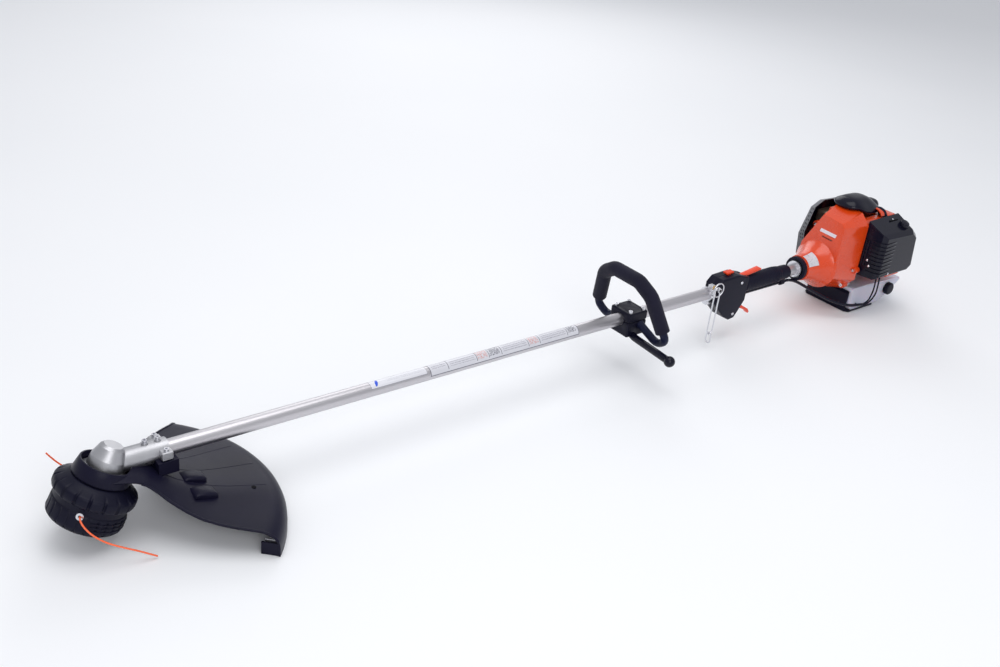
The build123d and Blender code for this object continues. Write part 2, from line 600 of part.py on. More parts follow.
RING_RADIUS = 15.0
RING_CENTRE = (PIN_X + 10.2, RING_Y, SHAFT_HEIGHT + PIN_Z - 6)
with BuildPart() as hook_ring:
    with BuildSketch(Plane(RING_CENTRE)):
        with Locations((RING_RADIUS, 0)):
            Circle(LINK_WIRE)
    revolve(axis=Axis(RING_CENTRE, (0, 1, 0)))
with BuildPart() as hanger_clamp:
    add([band, lug, foot])
    add(band_bore, mode=Mode.SUBTRACT)
    add([pin_shank, pin_head, hook_ring.part])
hanger_clamp.part.label = "hanger_clamp"
export_step(hanger_clamp.part, "parts/hanger_clamp.step")

EYE_TOP = LINK_TOP - LINK_LENGTH + 2 * LINK_WIRE + GAP
eye_plane = Plane((PIN_X, LINK_Y, SHAFT_HEIGHT + EYE_TOP), x_dir=(0, 1, 0), z_dir=(1, 0, 0))
with BuildPart() as hanger_eye:
    add(wire_loop(eye_plane, 6.0, 24.0, LINK_WIRE))
hanger_eye.part.label = "hanger_eye"
export_step(hanger_eye.part, "parts/hanger_eye.step")

# ---- throttle housing in two halves -------------------------------------------------------
HOUSING = [(0, -20), (0, 20), (14, 33), (62, 35), (98, 24), (98, -30), (84, -52), (72, -68),
           (56, -70), (38, -60), (14, -36)]
HOUSING_HALF = 19.0
WALL = 2.5


def housing_half(side):
    """One half shell of the throttle housing: side is -1 for near and +1 for far."""
    shift = [(THROTTLE_X + x, z) for x, z in HOUSING]
    inner = [(THROTTLE_X + 49 + (x - 49) * 0.92, z * 0.9 - 1.6) for x, z in HOUSING]
    outside = prism(along(), shift, -side * HOUSING_HALF)
    room = prism(along(), inner, -side * (HOUSING_HALF - WALL))
    pipe_way = ring(across(THROTTLE_X - 5), PIPE_RADIUS, 0, 110)
    mouth = block((THROTTLE_X + 92, 0, -52), (30, 11.2, 36))
    lever_way = block((THROTTLE_X + 92, 0, 23), (22, 13.2, 16))
    switch_way = block((THROTTLE_X + 50, 0, 34), (20, 9, 12))
    cable_way = block((THROTTLE_X + 98, 0, -24.5), (20, 8.4, 11))
    with BuildPart() as half:
        add(outside)
        rim = half.faces().sort_by(Axis.Y)[0 if side < 0 else -1]
        fillet(rim.edges(), radius=4)
        add([room, pipe_way, mouth, lever_way, switch_way, cable_way], mode=Mode.SUBTRACT)
    return half.part


with BuildPart() as throttle_housing_left:
    add(housing_half(-1))
throttle_housing_left.part.label = "throttle_housing_left"
export_step(throttle_housing_left.part, "parts/throttle_housing_left.step")
with BuildPart() as throttle_housing_right:
    add(housing_half(1))
throttle_housing_right.part.label = "throttle_housing_right"
export_step(throttle_housing_right.part, "parts/throttle_housing_right.step")

# ---- trigger, lockout lever and stop switch -----------------------------------------------
TRIGGER_PIVOT = (THROTTLE_X + 78, 0, -42.0)
with BuildPart() as throttle_trigger:
    with BuildSketch(along()):
        with BuildLine():
            Polyline((TRIGGER_PIVOT[0] - 6, -38), (TRIGGER_PIVOT[0] + 6, -37),
                     (THROTTLE_X + 110, -52),
                     (THROTTLE_X + 134, -66), (THROTTLE_X + 140, -75), (THROTTLE_X + 136, -77),
                     (THROTTLE_X + 129, -69), (THROTTLE_X + 106, -58), (TRIGGER_PIVOT[0] + 4, -48),
                     (TRIGGER_PIVOT[0] - 6, -46), close=True)
        make_face()
    extrude(amount=5, both=True)
    with BuildSketch(along()):
        with Locations((TRIGGER_PIVOT[0], TRIGGER_PIVOT[2])):
            Circle(2)
    extrude(amount=8, both=True)
throttle_trigger.part.label = "throttle_trigger"
export_step(throttle_trigger.part, "parts/throttle_trigger.step")

LOCKOUT_PIVOT = (THROTTLE_X + 92, 0, 20.5)
with BuildPart() as lockout_lever:
    with BuildSketch(along()):
        with BuildLine():
            Polyline((LOCKOUT_PIVOT[0] - 5, 18), (LOCKOUT_PIVOT[0] + 6, 18),
                     (LOCKOUT_PIVOT[0] + 12, 21.5), (LOCKOUT_PIVOT[0] + 54, 26),
                     (LOCKOUT_PIVOT[0] + 58, 29), (LOCKOUT_PIVOT[0] + 54, 31.5),
                     (LOCKOUT_PIVOT[0] - 2, 24), close=True)
        make_face()
        with Locations((LOCKOUT_PIVOT[0], LOCKOUT_PIVOT[2])):
            Circle(1.5, mode=Mode.SUBTRACT)
    extrude(amount=6, both=True)
lockout_lever.part.label = "lockout_lever"
export_step(lockout_lever.part, "parts/lockout_lever.step")

SWITCH_TRAVEL = 5.0
with BuildPart() as stop_switch:
    add(block((THROTTLE_X + 46, 0, 34), (9, 8, 10), 1.0))
    add(block((THROTTLE_X + 46, 0, 39), (22, 13, 5), 1.8))
stop_switch.part.label = "stop_switch"
export_step(stop_switch.part, "parts/stop_switch.step")

# ---- rear grip with the cable clip below it -----------------------------------------------
GRIP_X = THROTTLE_X + 98 + GAP
with BuildPart() as rear_grip:
    with BuildSketch(across(GRIP_X)):
        Circle(GRIP_RADIUS)
        Circle(PIPE_RADIUS, mode=Mode.SUBTRACT)
    extrude(amount=GRIP_LENGTH)
    end_rims = rear_grip.edges().filter_by(GeomType.CIRCLE)
    fillet(end_rims.filter_by(lambda rim: rim.radius > GRIP_RADIUS - 1), radius=2.5)
    add(block((GRIP_X + GRIP_LENGTH - 9, 0, -22), (14, 12, 12), 2.0))
    with BuildSketch(across(GRIP_X + GRIP_LENGTH - 20)):
        with Locations((0, -24.5)):
            Circle(3.6)
    extrude(amount=24, mode=Mode.SUBTRACT)
    with BuildSketch(across(GRIP_X - 1)):
        Circle(PIPE_RADIUS)
    extrude(amount=GRIP_LENGTH + 2, mode=Mode.SUBTRACT)
rear_grip.part.label = "rear_grip"
export_step(rear_grip.part, "parts/rear_grip.step")


# ---- engine: collar between the pipe and the clutch cover ---------------------------------
CONE_FRONT_X = PIPE_REAR_X - 40
COVER_BACK_X = -60.0
PANEL_X = -130.0
with BuildPart() as damper_collar:
    add(on_shaft([(CONE_FRONT_X - 16, PIPE_RADIUS), (CONE_FRONT_X - 16, 19), (CONE_FRONT_X - 4, 20),
                  (CONE_FRONT_X - 4, 26), (CONE_FRONT_X, 26), (CONE_FRONT_X, 22), (PIPE_REAR_X, 22),
                  (PIPE_REAR_X, PIPE_RADIUS)]))
damper_collar.part.label = "damper_collar"
export_step(damper_collar.part, "parts/damper_collar.step")

# ---- orange clutch cover: cone, faceted front panel and open back -------------------------
FRONT_PANEL = [(-54, 106), (-47, 113), (6, 119), (48, 36), (50, -18), (20, -46), (-24, -46), (-52, -18)]
BACK_EDGE = [(-68, 106), (-44, 129), (20, 132), (66, 56), (66, -28), (30, -62), (-34, -62), (-68, -28)]


def cover_body(front_x, back_x, shrink):
    """Ruled body between the front panel and the back edge, drawn in by a wall."""
    with BuildPart() as body:
        for x, outline in ((front_x, FRONT_PANEL), (back_x, BACK_EDGE)):
            with BuildSketch(across(x)):
                with BuildLine():
                    Polyline(*outline, close=True)
                make_face()
                if shrink:
                    offset(amount=-shrink, kind=Kind.INTERSECTION)
        loft(ruled=True)
    return body.part


cover_outside = cover_body(PANEL_X, COVER_BACK_X, 0)
cover_inside = cover_body(PANEL_X + 3, COVER_BACK_X + 0.5, 3)
cone_outside = on_shaft([(CONE_FRONT_X, 0), (CONE_FRONT_X, 29), (CONE_FRONT_X + 16, 31),
                         (CONE_FRONT_X + 36, 38), (CONE_FRONT_X + 54, 49), (CONE_FRONT_X + 64, 57),
                         (CONE_FRONT_X + 64, 0)])
drum_room = on_shaft([(PIPE_REAR_X + 12, 0), (PIPE_REAR_X + 12, DRUM_OUTER + 2), (-104, DRUM_OUTER + 4),
                      (-100, 42), (-100, 0)])
collar_seat = ring(across(CONE_FRONT_X - 1), 22, 0, PIPE_REAR_X - CONE_FRONT_X + 1)
bearing_seat = ring(across(DRUM_BEARING_X), 14, 0, 12)
throat_room = ring(across(PIPE_REAR_X), 10, 0, 14)
LUG_PLACES = [(-67, -2), (-46, -47), (44, -45), (60, 64)]
cover_lugs = [ring(Plane((COVER_BACK_X - 12, y, SHAFT_HEIGHT + z), z_dir=(1, 0, 0)), 8, 0, 12)
              for y, z in LUG_PLACES]
head_recesses = [ring(Plane((COVER_BACK_X - 12, y, SHAFT_HEIGHT + z), z_dir=(-1, 0, 0)), 4.4, 0, 14)
                 for y, z in LUG_PLACES]
with BuildPart() as clutch_cover:
    add([cover_outside, cone_outside])
    add([cover_inside, drum_room, collar_seat, bearing_seat, throat_room], mode=Mode.SUBTRACT)
    add(cover_lugs)
    add(head_recesses, mode=Mode.SUBTRACT)
    with BuildSketch(across(COVER_BACK_X)):
        with Locations(*LUG_PLACES):
            Circle(2.4)
    extrude(amount=-13, mode=Mode.SUBTRACT)
clutch_cover.part.label = "clutch_cover"
export_step(clutch_cover.part, "parts/clutch_cover.step")

# ---- drive side: clutch drum on the drive shaft -------------------------------------------
with BuildPart() as clutch_drum:
    add(on_shaft([(DRUM_BEARING_X, DRIVE_SHAFT_RADIUS), (DRUM_BEARING_X, CRANK_SHAFT_RADIUS),
                  (DRUM_FRONT_X, CRANK_SHAFT_RADIUS), (DRUM_FRONT_X, DRUM_OUTER), (DRUM_BACK_X, DRUM_OUTER),
                  (DRUM_BACK_X, DRUM_OUTER - 2), (DRUM_FRONT_X + 2.5, DRUM_OUTER - 2),
                  (DRUM_FRONT_X + 2.5, DRIVE_SHAFT_RADIUS)]))
clutch_drum.part.label = "clutch_drum"
export_step(clutch_drum.part, "parts/clutch_drum.step")

# ---- engine side: shoes, flywheel and crankshaft ------------------------------------------
SHOE_OUTER = DRUM_OUTER - 2 - 1.5
SHOE_X = DRUM_FRONT_X + 5
with BuildPart() as clutch_shoes:
    with BuildSketch(across(SHOE_X)):
        Circle(SHOE_OUTER)
        Circle(11, mode=Mode.SUBTRACT)
        Rectangle(80, 7, mode=Mode.SUBTRACT)
    extrude(amount=16)
clutch_shoes.part.label = "clutch_shoes"
export_step(clutch_shoes.part, "parts/clutch_shoes.step")

FLYWHEEL_X = -98.0
with BuildPart() as flywheel:
    add(on_shaft([(FLYWHEEL_X, CRANK_SHAFT_RADIUS), (FLYWHEEL_X, 34), (FLYWHEEL_X + 6, FLYWHEEL_RADIUS),
                  (FLYWHEEL_X + 20, FLYWHEEL_RADIUS), (FLYWHEEL_X + 20, FLYWHEEL_RADIUS - 8),
                  (FLYWHEEL_X + 12, FLYWHEEL_RADIUS - 8), (FLYWHEEL_X + 12, CRANK_SHAFT_RADIUS)]))
    with BuildSketch(across(FLYWHEEL_X + 1)):
        with PolarLocations(FLYWHEEL_RADIUS - 9, 16):
            Rectangle(14, 2)
    extrude(amount=-7)
flywheel.part.label = "flywheel"
export_step(flywheel.part, "parts/flywheel.step")

WEB_GAP = 12.0
WEB_WIDTH = 9.0
WEB_RADIUS = 24.0
PIN_BORE = 5.0
pin_z = CRANK_RADIUS
with BuildPart() as crankshaft:
    with BuildSketch(across(SHOE_X + 1)):
        Circle(CRANK_SHAFT_RADIUS)
    extrude(amount=CYLINDER_X - WEB_GAP / 2 - WEB_WIDTH - SHOE_X - 1)
    with BuildSketch(across(SHOE_X + 1)):
        Circle(11)
        Rectangle(2 * SHOE_OUTER - 8, 6)
    extrude(amount=14)
    with BuildSketch(across(CYLINDER_X - WEB_GAP / 2 - WEB_WIDTH)):
        Circle(WEB_RADIUS)
    extrude(amount=WEB_WIDTH)
    with BuildSketch(across(CYLINDER_X + WEB_GAP / 2)):
        Circle(WEB_RADIUS)
    extrude(amount=WEB_WIDTH)
    with BuildSketch(across(CYLINDER_X + WEB_GAP / 2 + WEB_WIDTH)):
        Circle(CRANK_SHAFT_RADIUS)
    extrude(amount=44)
crankshaft.part.label = "crankshaft"
export_step(crankshaft.part, "parts/crankshaft.step")

WRIST_Z = CRANK_RADIUS + ROD_LENGTH
CROWN_Z = WRIST_Z + 14
with BuildPart() as connecting_rod:
    with BuildSketch(across(CYLINDER_X - 4)):
        with Locations((0, pin_z)):
            Circle(8.5)
        with Locations((0, WRIST_Z)):
            Circle(6.5)
        with Locations((0, pin_z + ROD_LENGTH / 2)):
            Rectangle(7, ROD_LENGTH - 8)
    extrude(amount=8)
    with BuildSketch(across(CYLINDER_X - 5.5)):
        with Locations((0, pin_z)):
            Circle(PIN_BORE)
    extrude(amount=11)
connecting_rod.part.label = "connecting_rod"
export_step(connecting_rod.part, "parts/connecting_rod.step")

with BuildPart() as piston:
    with BuildSketch(Plane((CYLINDER_X, 0, SHAFT_HEIGHT + WRIST_Z - 14))):
        Circle(BORE_RADIUS - RUNNING)
    extrude(amount=28)
    with BuildSketch(Plane((CYLINDER_X, 0, SHAFT_HEIGHT + WRIST_Z - 14))):
        Circle(BORE_RADIUS - 3)
    extrude(amount=24, mode=Mode.SUBTRACT)
    with BuildSketch(across(CYLINDER_X - BORE_RADIUS + 1)):
        with Locations((0, WRIST_Z)):
            Circle(4)
    extrude(amount=2 * BORE_RADIUS - 2)
    add(connecting_rod.part, mode=Mode.SUBTRACT)
piston.part.label = "piston"
export_step(piston.part, "parts/piston.step")

# ---- crankcase and finned cylinder --------------------------------------------------------
CASE_FRONT_X = CRANK_BEARINGS[0] - 4
CASE_BACK_X = CRANK_BEARINGS[1] + 12
CYLINDER_FOOT = 34.0
with BuildPart() as crankcase:
    with BuildSketch(across(CASE_FRONT_X)):
        Circle(34)
        with Locations((0, 10)):
            Rectangle(56, 48)
    extrude(amount=CASE_BACK_X - CASE_FRONT_X)
    with BuildSketch(across(COVER_BACK_X)):
        with Locations(*LUG_PLACES[1:3]):
            Circle(7)
        with Locations((0, -36)):
            Rectangle(80, 50)
    extrude(amount=10)
    with BuildSketch(across(CRANK_BEARINGS[0] + BEARING_WIDTH + 1)):
        Circle(26.5)
    extrude(amount=CRANK_BEARINGS[1] - CRANK_BEARINGS[0] - BEARING_WIDTH - 2, mode=Mode.SUBTRACT)
    for x in CRANK_BEARINGS:
        with BuildSketch(across(x)):
            Circle(14)
        extrude(amount=BEARING_WIDTH + 1, mode=Mode.SUBTRACT)
    with BuildSketch(across(CASE_FRONT_X - 1)):
        Circle(10)
    extrude(amount=CASE_BACK_X - CASE_FRONT_X + 2, mode=Mode.SUBTRACT)
    with BuildSketch(Plane((CYLINDER_X, 0, SHAFT_HEIGHT))):
        Circle(BORE_RADIUS + 2)
    extrude(amount=CYLINDER_FOOT + 1, mode=Mode.SUBTRACT)
crankcase.part.label = "crankcase"
export_step(crankcase.part, "parts/crankcase.step")

FIN_COUNT = 7
FIN_PITCH = 8.0
PLUG_RADIUS = 5.0
with BuildPart() as cylinder:
    with BuildSketch(Plane((CYLINDER_X, 0, SHAFT_HEIGHT + CYLINDER_FOOT))):
        RectangleRounded(54, 54, 4)
    extrude(amount=5)
    with BuildSketch(Plane((CYLINDER_X, 0, SHAFT_HEIGHT + CYLINDER_FOOT))):
        Circle(BORE_RADIUS + 4)
    extrude(amount=CROWN_Z - CYLINDER_FOOT + 14)
    for index in range(FIN_COUNT):
        with BuildSketch(Plane((CYLINDER_X, 0, SHAFT_HEIGHT + CYLINDER_FOOT + 12 + index * FIN_PITCH))):
            RectangleRounded(60, 72, 8)
        extrude(amount=2)
    with BuildSketch(Plane((CYLINDER_X, 0, SHAFT_HEIGHT + CYLINDER_FOOT - 1))):
        Circle(BORE_RADIUS)
    extrude(amount=CROWN_Z - CYLINDER_FOOT + 2, mode=Mode.SUBTRACT)
cylinder.part.label = "cylinder"
export_step(cylinder.part, "parts/cylinder.step")
CYLINDER_TOP = CROWN_Z + 14

with BuildPart() as spark_plug:
    with BuildSketch(Plane((CYLINDER_X, 0, SHAFT_HEIGHT + CYLINDER_TOP))):
        RegularPolygon(8, 6)
    extrude(amount=6)
    with BuildSketch(Plane((CYLINDER_X, 0, SHAFT_HEIGHT + CYLINDER_TOP + 6))):
        Circle(PLUG_RADIUS)
    extrude(amount=14)
spark_plug.part.label = "spark_plug"
export_step(spark_plug.part, "parts/spark_plug.step")

# ---- black cylinder cap with the plug boot behind it --------------------------------------
CAP_WALL = 2.5
CAP_X = COVER_BACK_X + 48.5
with BuildPart() as cylinder_cover:
    with BuildSketch(Plane((CAP_X, 0, SHAFT_HEIGHT + 112))):
        RectangleRounded(96, 76, 20)
    extrude(amount=22)
    with BuildSketch(Plane((CAP_X, 0, SHAFT_HEIGHT + 134))):
        RectangleRounded(80, 58, 18)
    extrude(amount=18, taper=28)
    with BuildSketch(Plane((CAP_X, 0, SHAFT_HEIGHT + 111))):
        RectangleRounded(96 - 2 * CAP_WALL, 76 - 2 * CAP_WALL, 18)
    extrude(amount=21, mode=Mode.SUBTRACT)
cylinder_cover.part.label = "cylinder_cover"
export_step(cylinder_cover.part, "parts/cylinder_cover.step")

BOOT_X = 22.0
BOOT_Y = -50.0
with BuildPart() as plug_boot:
    with BuildSketch(Plane((BOOT_X, BOOT_Y, SHAFT_HEIGHT + 96))):
        Circle(10)
    extrude(amount=22)
    with BuildSketch(Plane((BOOT_X, BOOT_Y, SHAFT_HEIGHT + 118))):
        Circle(10)
    extrude(amount=9, taper=25)
plug_boot.part.label = "plug_boot"
export_step(plug_boot.part, "parts/plug_boot.step")

# ---- orange shroud round the cylinder, behind the clutch cover ----------------------------
SHROUD_BACK_X = 62.0
with BuildPart() as cylinder_shroud:
    with BuildSketch(across(COVER_BACK_X + GAP)):
        with BuildLine():
            Polyline((-62, 60), (-62, 104), (-52, 111), (42, 111), (50, 60), close=True)
        make_face()
    extrude(amount=SHROUD_BACK_X - COVER_BACK_X - 2)
    with BuildSketch(across(COVER_BACK_X)):
        with BuildLine():
            Polyline((-59, 50), (-59, 102), (-51, 108), (40, 108), (47, 58), (47, 50), close=True)
        make_face()
    extrude(amount=SHROUD_BACK_X - COVER_BACK_X - 5, mode=Mode.SUBTRACT)
    add(block((CYLINDER_X, 0, 90), (64, 76, 60)), mode=Mode.SUBTRACT)
    add(ring(across(CYLINDER_X), 63, 0, 90), mode=Mode.SUBTRACT)
    add(block((CYLINDER_X, 50, 66), (32, 30, 26)), mode=Mode.SUBTRACT)
    add(ring(Plane((BOOT_X, BOOT_Y, SHAFT_HEIGHT + 95)), 10.5, 0, 30), mode=Mode.SUBTRACT)
cylinder_shroud.part.label = "cylinder_shroud"
export_step(cylinder_shroud.part, "parts/cylinder_shroud.step")

# ---- muffler and its perforated guard on the far side -------------------------------------
GUARD_EDGE_Y = 68.0
GUARD_DEPTH = 34.0
GUARD_WALL = 2.6
GUARD_FRONT_X = -92.0
GUARD_EDGE = [(GUARD_FRONT_X + 6, -20), (GUARD_FRONT_X - 6, 46), (GUARD_FRONT_X + 14, 104),
              (GUARD_FRONT_X + 44, 118), (50, 112), (56, 10), (30, -20)]
GUARD_FACE = [(GUARD_FRONT_X + 28, -28), (GUARD_FRONT_X + 20, 26), (GUARD_FRONT_X + 46, 88),
              (GUARD_FRONT_X + 76, 101), (44, 98), (50, 4), (26, -24)]
VENT_RADIUS = 2.3
VENT_COUNT = 9
VENT_PITCH = 8.6
VENT_BOTTOM = 22.0

with BuildPart() as muffler:
    add(block((CYLINDER_X + 8, 72.5, 58), (60, 31, 62), 7.0))
    add(block((CYLINDER_X, 48, 66), (30, 23, 22)))
    add(block((CYLINDER_X + 8, 88, 52), (18, 2 * (GUARD_EDGE_Y + GUARD_DEPTH - GUARD_WALL - 88), 18)))
muffler.part.label = "muffler"
export_step(muffler.part, "parts/muffler.step")

with BuildPart() as muffler_guard:
    for y, outline in ((GUARD_EDGE_Y, GUARD_EDGE), (GUARD_EDGE_Y + GUARD_DEPTH, GUARD_FACE)):
        with BuildSketch(along(y)):
            with BuildLine():
                Polyline(*outline, close=True)
            make_face()
    loft(ruled=True)
    fillet(muffler_guard.faces().sort_by(Axis.Y)[-1].edges(), radius=5)
    for y, outline in ((GUARD_EDGE_Y - 0.1, GUARD_EDGE),
                       (GUARD_EDGE_Y + GUARD_DEPTH - GUARD_WALL, GUARD_FACE)):
        with BuildSketch(along(y)):
            with BuildLine():
                Polyline(*outline, close=True)
            make_face()
            offset(amount=-GUARD_WALL, kind=Kind.INTERSECTION, mode=Mode.REPLACE)
    loft(ruled=True, mode=Mode.SUBTRACT)
    vents = [(y, VENT_BOTTOM + VENT_PITCH * (i + shift)) for y, shift in ((76, 0.5), (87, 0.0))
             for i in range(VENT_COUNT)]
    with BuildSketch(across(GUARD_FRONT_X - 20)):
        with Locations(*vents):
            Circle(VENT_RADIUS)
    extrude(amount=74, mode=Mode.SUBTRACT)
muffler_guard.part.label = "muffler_guard"
export_step(muffler_guard.part, "parts/muffler_guard.step")

# ---- carburettor, filter and the air cleaner cover on the near side -----------------------
with BuildPart() as carburettor:
    add(block((CYLINDER_X, -54, 42), (38, 22, 34), 3.0))
    add(block((CYLINDER_X, -40, 42), (24, 7.6, 20)))
carburettor.part.label = "carburettor"
export_step(carburettor.part, "parts/carburettor.step")

AIR_BOX = [(-52, -14), (-52, 100), (62, 100), (78, 84), (88, -4), (74, -14)]
AIR_INNER = -70.0
AIR_DEPTH = 46.0
with BuildPart() as air_cleaner_cover:
    with BuildSketch(along(AIR_INNER)):
        with BuildLine():
            Polyline(*AIR_BOX, close=True)
        make_face()
    extrude(amount=AIR_DEPTH)
    fillet(air_cleaner_cover.faces().sort_by(Axis.Y)[0].edges(), radius=12)
    with BuildSketch(along(AIR_INNER)):
        with BuildLine():
            Polyline((-49, -11), (-49, 97), (60, 97), (75, 83), (85, -3), (73, -11), close=True)
        make_face()
    extrude(amount=AIR_DEPTH - 9, mode=Mode.SUBTRACT)
air_cleaner_cover.part.label = "air_cleaner_cover"
export_step(air_cleaner_cover.part, "parts/air_cleaner_cover.step")

with BuildPart() as air_filter:
    add(block((16, AIR_INNER - 18, 44), (96, 24, 84), 4.0))
air_filter.part.label = "air_filter"
export_step(air_filter.part, "parts/air_filter.step")

# ---- recoil starter behind the crankcase --------------------------------------------------
STARTER_X = 62.0
STARTER_DEPTH = 62.0
REEL_RADIUS = 32.0
ROPE_X = STARTER_X + 49
ROPE_RADIUS = 1.5
ROPE_Y = REEL_RADIUS - 8 + ROPE_RADIUS + GAP    # tangent to the reel's core
with BuildPart() as starter_housing:
    add(on_shaft([(CASE_BACK_X, 0), (CASE_BACK_X, 40), (STARTER_X, 62),
                  (STARTER_X + STARTER_DEPTH - 12, 62), (STARTER_X + STARTER_DEPTH, 50),
                  (STARTER_X + STARTER_DEPTH, 0)]))
    add(block((STARTER_X + 30, -50, -36), (52, 40, 22), 3.0))
    add(on_shaft([(CASE_BACK_X + 3, 0), (CASE_BACK_X + 3, 38), (STARTER_X, 58.5),
                  (STARTER_X + STARTER_DEPTH - 13, 58.5), (STARTER_X + STARTER_DEPTH - 3, 48),
                  (STARTER_X + STARTER_DEPTH - 3, 0)]), mode=Mode.SUBTRACT)
    add(ring(across(CASE_BACK_X - 1), 14, 0, 8), mode=Mode.SUBTRACT)
    add(ring(Plane((ROPE_X, ROPE_Y, SHAFT_HEIGHT)), ROPE_RADIUS + 0.5, 0, 80), mode=Mode.SUBTRACT)
    add(ring(across(STARTER_X + STARTER_DEPTH - 20), 5, 0, 18))
starter_housing.part.label = "starter_housing"
export_step(starter_housing.part, "parts/starter_housing.step")

REEL_X = ROPE_X - 5
with BuildPart() as starter_reel:
    add(on_shaft([(REEL_X, 5 + RUNNING), (REEL_X, REEL_RADIUS), (REEL_X + 2, REEL_RADIUS),
                  (REEL_X + 2, REEL_RADIUS - 8), (REEL_X + 8, REEL_RADIUS - 8),
                  (REEL_X + 8, REEL_RADIUS), (REEL_X + 10, REEL_RADIUS), (REEL_X + 10, 5 + RUNNING)]))
starter_reel.part.label = "starter_reel"
export_step(starter_reel.part, "parts/starter_reel.step")

# ---- fuel tank, its cap and the black stand -----------------------------------------------
TANK_HALF = 62.0
STAND_FLOOR = 4.0
with BuildPart() as fuel_tank:
    with BuildSketch(along()):
        with BuildLine():
            Polyline((-44, TANK_TOP), (-44, -100), (-34, -SHAFT_HEIGHT + STAND_FLOOR),
                     (72, -SHAFT_HEIGHT + STAND_FLOOR),
                     (96, -104), (146, -72), (146, -64), (130, TANK_TOP - 6), (20, TANK_TOP), close=True)
        make_face()
    extrude(amount=TANK_HALF, both=True)
    fillet(fuel_tank.edges().filter_by(Axis.Y), radius=3.5)
    add(on_shaft([(COVER_BACK_X, 0), (COVER_BACK_X, 66), (STARTER_X + STARTER_DEPTH + 2, 66),
                  (STARTER_X + STARTER_DEPTH + 2, 0)]), mode=Mode.SUBTRACT)
fuel_tank.part.label = "fuel_tank"
export_step(fuel_tank.part, "parts/fuel_tank.step")

STAND_HALF = 64.0
with BuildPart() as tank_stand:
    with BuildSketch(Plane.XY):
        with BuildLine():
            Polyline((-50, -STAND_HALF + 10), (-42, -STAND_HALF), (50, -STAND_HALF), (50, STAND_HALF),
                     (-42, STAND_HALF), (-50, STAND_HALF - 10), close=True)
        make_face()
    extrude(amount=STAND_FLOOR)
    with BuildSketch(along()):
        with BuildLine():
            Polyline((-50, -SHAFT_HEIGHT), (-46, -SHAFT_HEIGHT), (-44.4, -76), (-46, -66),
                     (-52, -72), close=True)
        make_face()
    extrude(amount=STAND_HALF - 8, both=True)
tank_stand.part.label = "tank_stand"
export_step(tank_stand.part, "parts/tank_stand.step")

with BuildPart() as fuel_cap:
    with BuildSketch(Plane((98, -TANK_HALF, SHAFT_HEIGHT - 83), z_dir=(0, -1, 0))):
        Circle(15)
    extrude(amount=12)
fuel_cap.part.label = "fuel_cap"
export_step(fuel_cap.part, "parts/fuel_cap.step")

# ---- recoil rope and its handle: the rope leaves the reel on a tangent and rises ----------
with BuildPart() as starter_handle:
    add(ring(Plane((ROPE_X, ROPE_Y, SHAFT_HEIGHT - 36)), ROPE_RADIUS, 0, 104))
    add(block((ROPE_X, ROPE_Y, 74), (14, 40, 13), 3.0))
starter_handle.part.label = "starter_handle"
export_step(starter_handle.part, "parts/starter_handle.step")

# ---- throttle cable conduit and the fuel lines --------------------------------------------
CABLE = [(THROTTLE_X + 88, 0, SHAFT_HEIGHT - 24.5), (PIPE_REAR_X - 55, 0, SHAFT_HEIGHT - 24.5),
         (PIPE_REAR_X - 15, -20, SHAFT_HEIGHT - 47), (-118, -55, SHAFT_HEIGHT - 74),
         (-76, -80, SHAFT_HEIGHT - 86), (-34, -88, SHAFT_HEIGHT - 88)]
cable_tube = tube_along(CABLE, free_radii(CABLE, "cable"), 3.4)
with BuildPart() as throttle_cable:
    add(cable_tube)
throttle_cable.part.label = "throttle_cable"
export_step(throttle_cable.part, "parts/throttle_cable.step")

FUEL_FEED = [(-33, -88, SHAFT_HEIGHT - 88), (-14, -90, SHAFT_HEIGHT - 82), (0, -88, SHAFT_HEIGHT - 58),
             (-2, -86, SHAFT_HEIGHT - 14.5)]
FUEL_RETURN = [(-20, -TANK_HALF - 0.2, SHAFT_HEIGHT - 100), (-20, -76, SHAFT_HEIGHT - 100),
               (-6, -86, SHAFT_HEIGHT - 92), (10, -90, SHAFT_HEIGHT - 72),
               (16, -86, SHAFT_HEIGHT - 46), (12, -86, SHAFT_HEIGHT - 14.5)]
feed_tube = tube_along(FUEL_FEED, free_radii(FUEL_FEED, "fuel feed"), 1.8)
return_tube = tube_along(FUEL_RETURN, free_radii(FUEL_RETURN, "fuel return"), 1.8)
with BuildPart() as fuel_lines:
    add([feed_tube, return_tube])
fuel_lines.part.label = "fuel_lines"
export_step(fuel_lines.part, "parts/fuel_lines.step")

# ---- socket cap screws of one size family -------------------------------------------------
case_screws = [socket_screw(Plane((x, 0, SHAFT_HEIGHT + 20)), 6.4) for x in CLAMP_SCREW_X]
ear_screws = [socket_screw(Plane((EAR_X, side * 22.5, SHAFT_HEIGHT + 10)), 30) for side in (-1, 1)]
handle_screws = [socket_screw(Plane((x, y, SHAFT_HEIGHT + 19.5)), 38) for x, y in clamp_bolts]
lug_screws = [socket_screw(Plane((COVER_BACK_X - 12, y, SHAFT_HEIGHT + z), z_dir=(-1, 0, 0)), 12)
              for y, z in LUG_PLACES]
with BuildPart() as socket_screws:
    add([*case_screws, *ear_screws, *handle_screws, *lug_screws])
socket_screws.part.label = "socket_screws"
export_step(socket_screws.part, "parts/socket_screws.step")
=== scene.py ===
import math

import bmesh
import bpy
from mathutils import Matrix, Vector


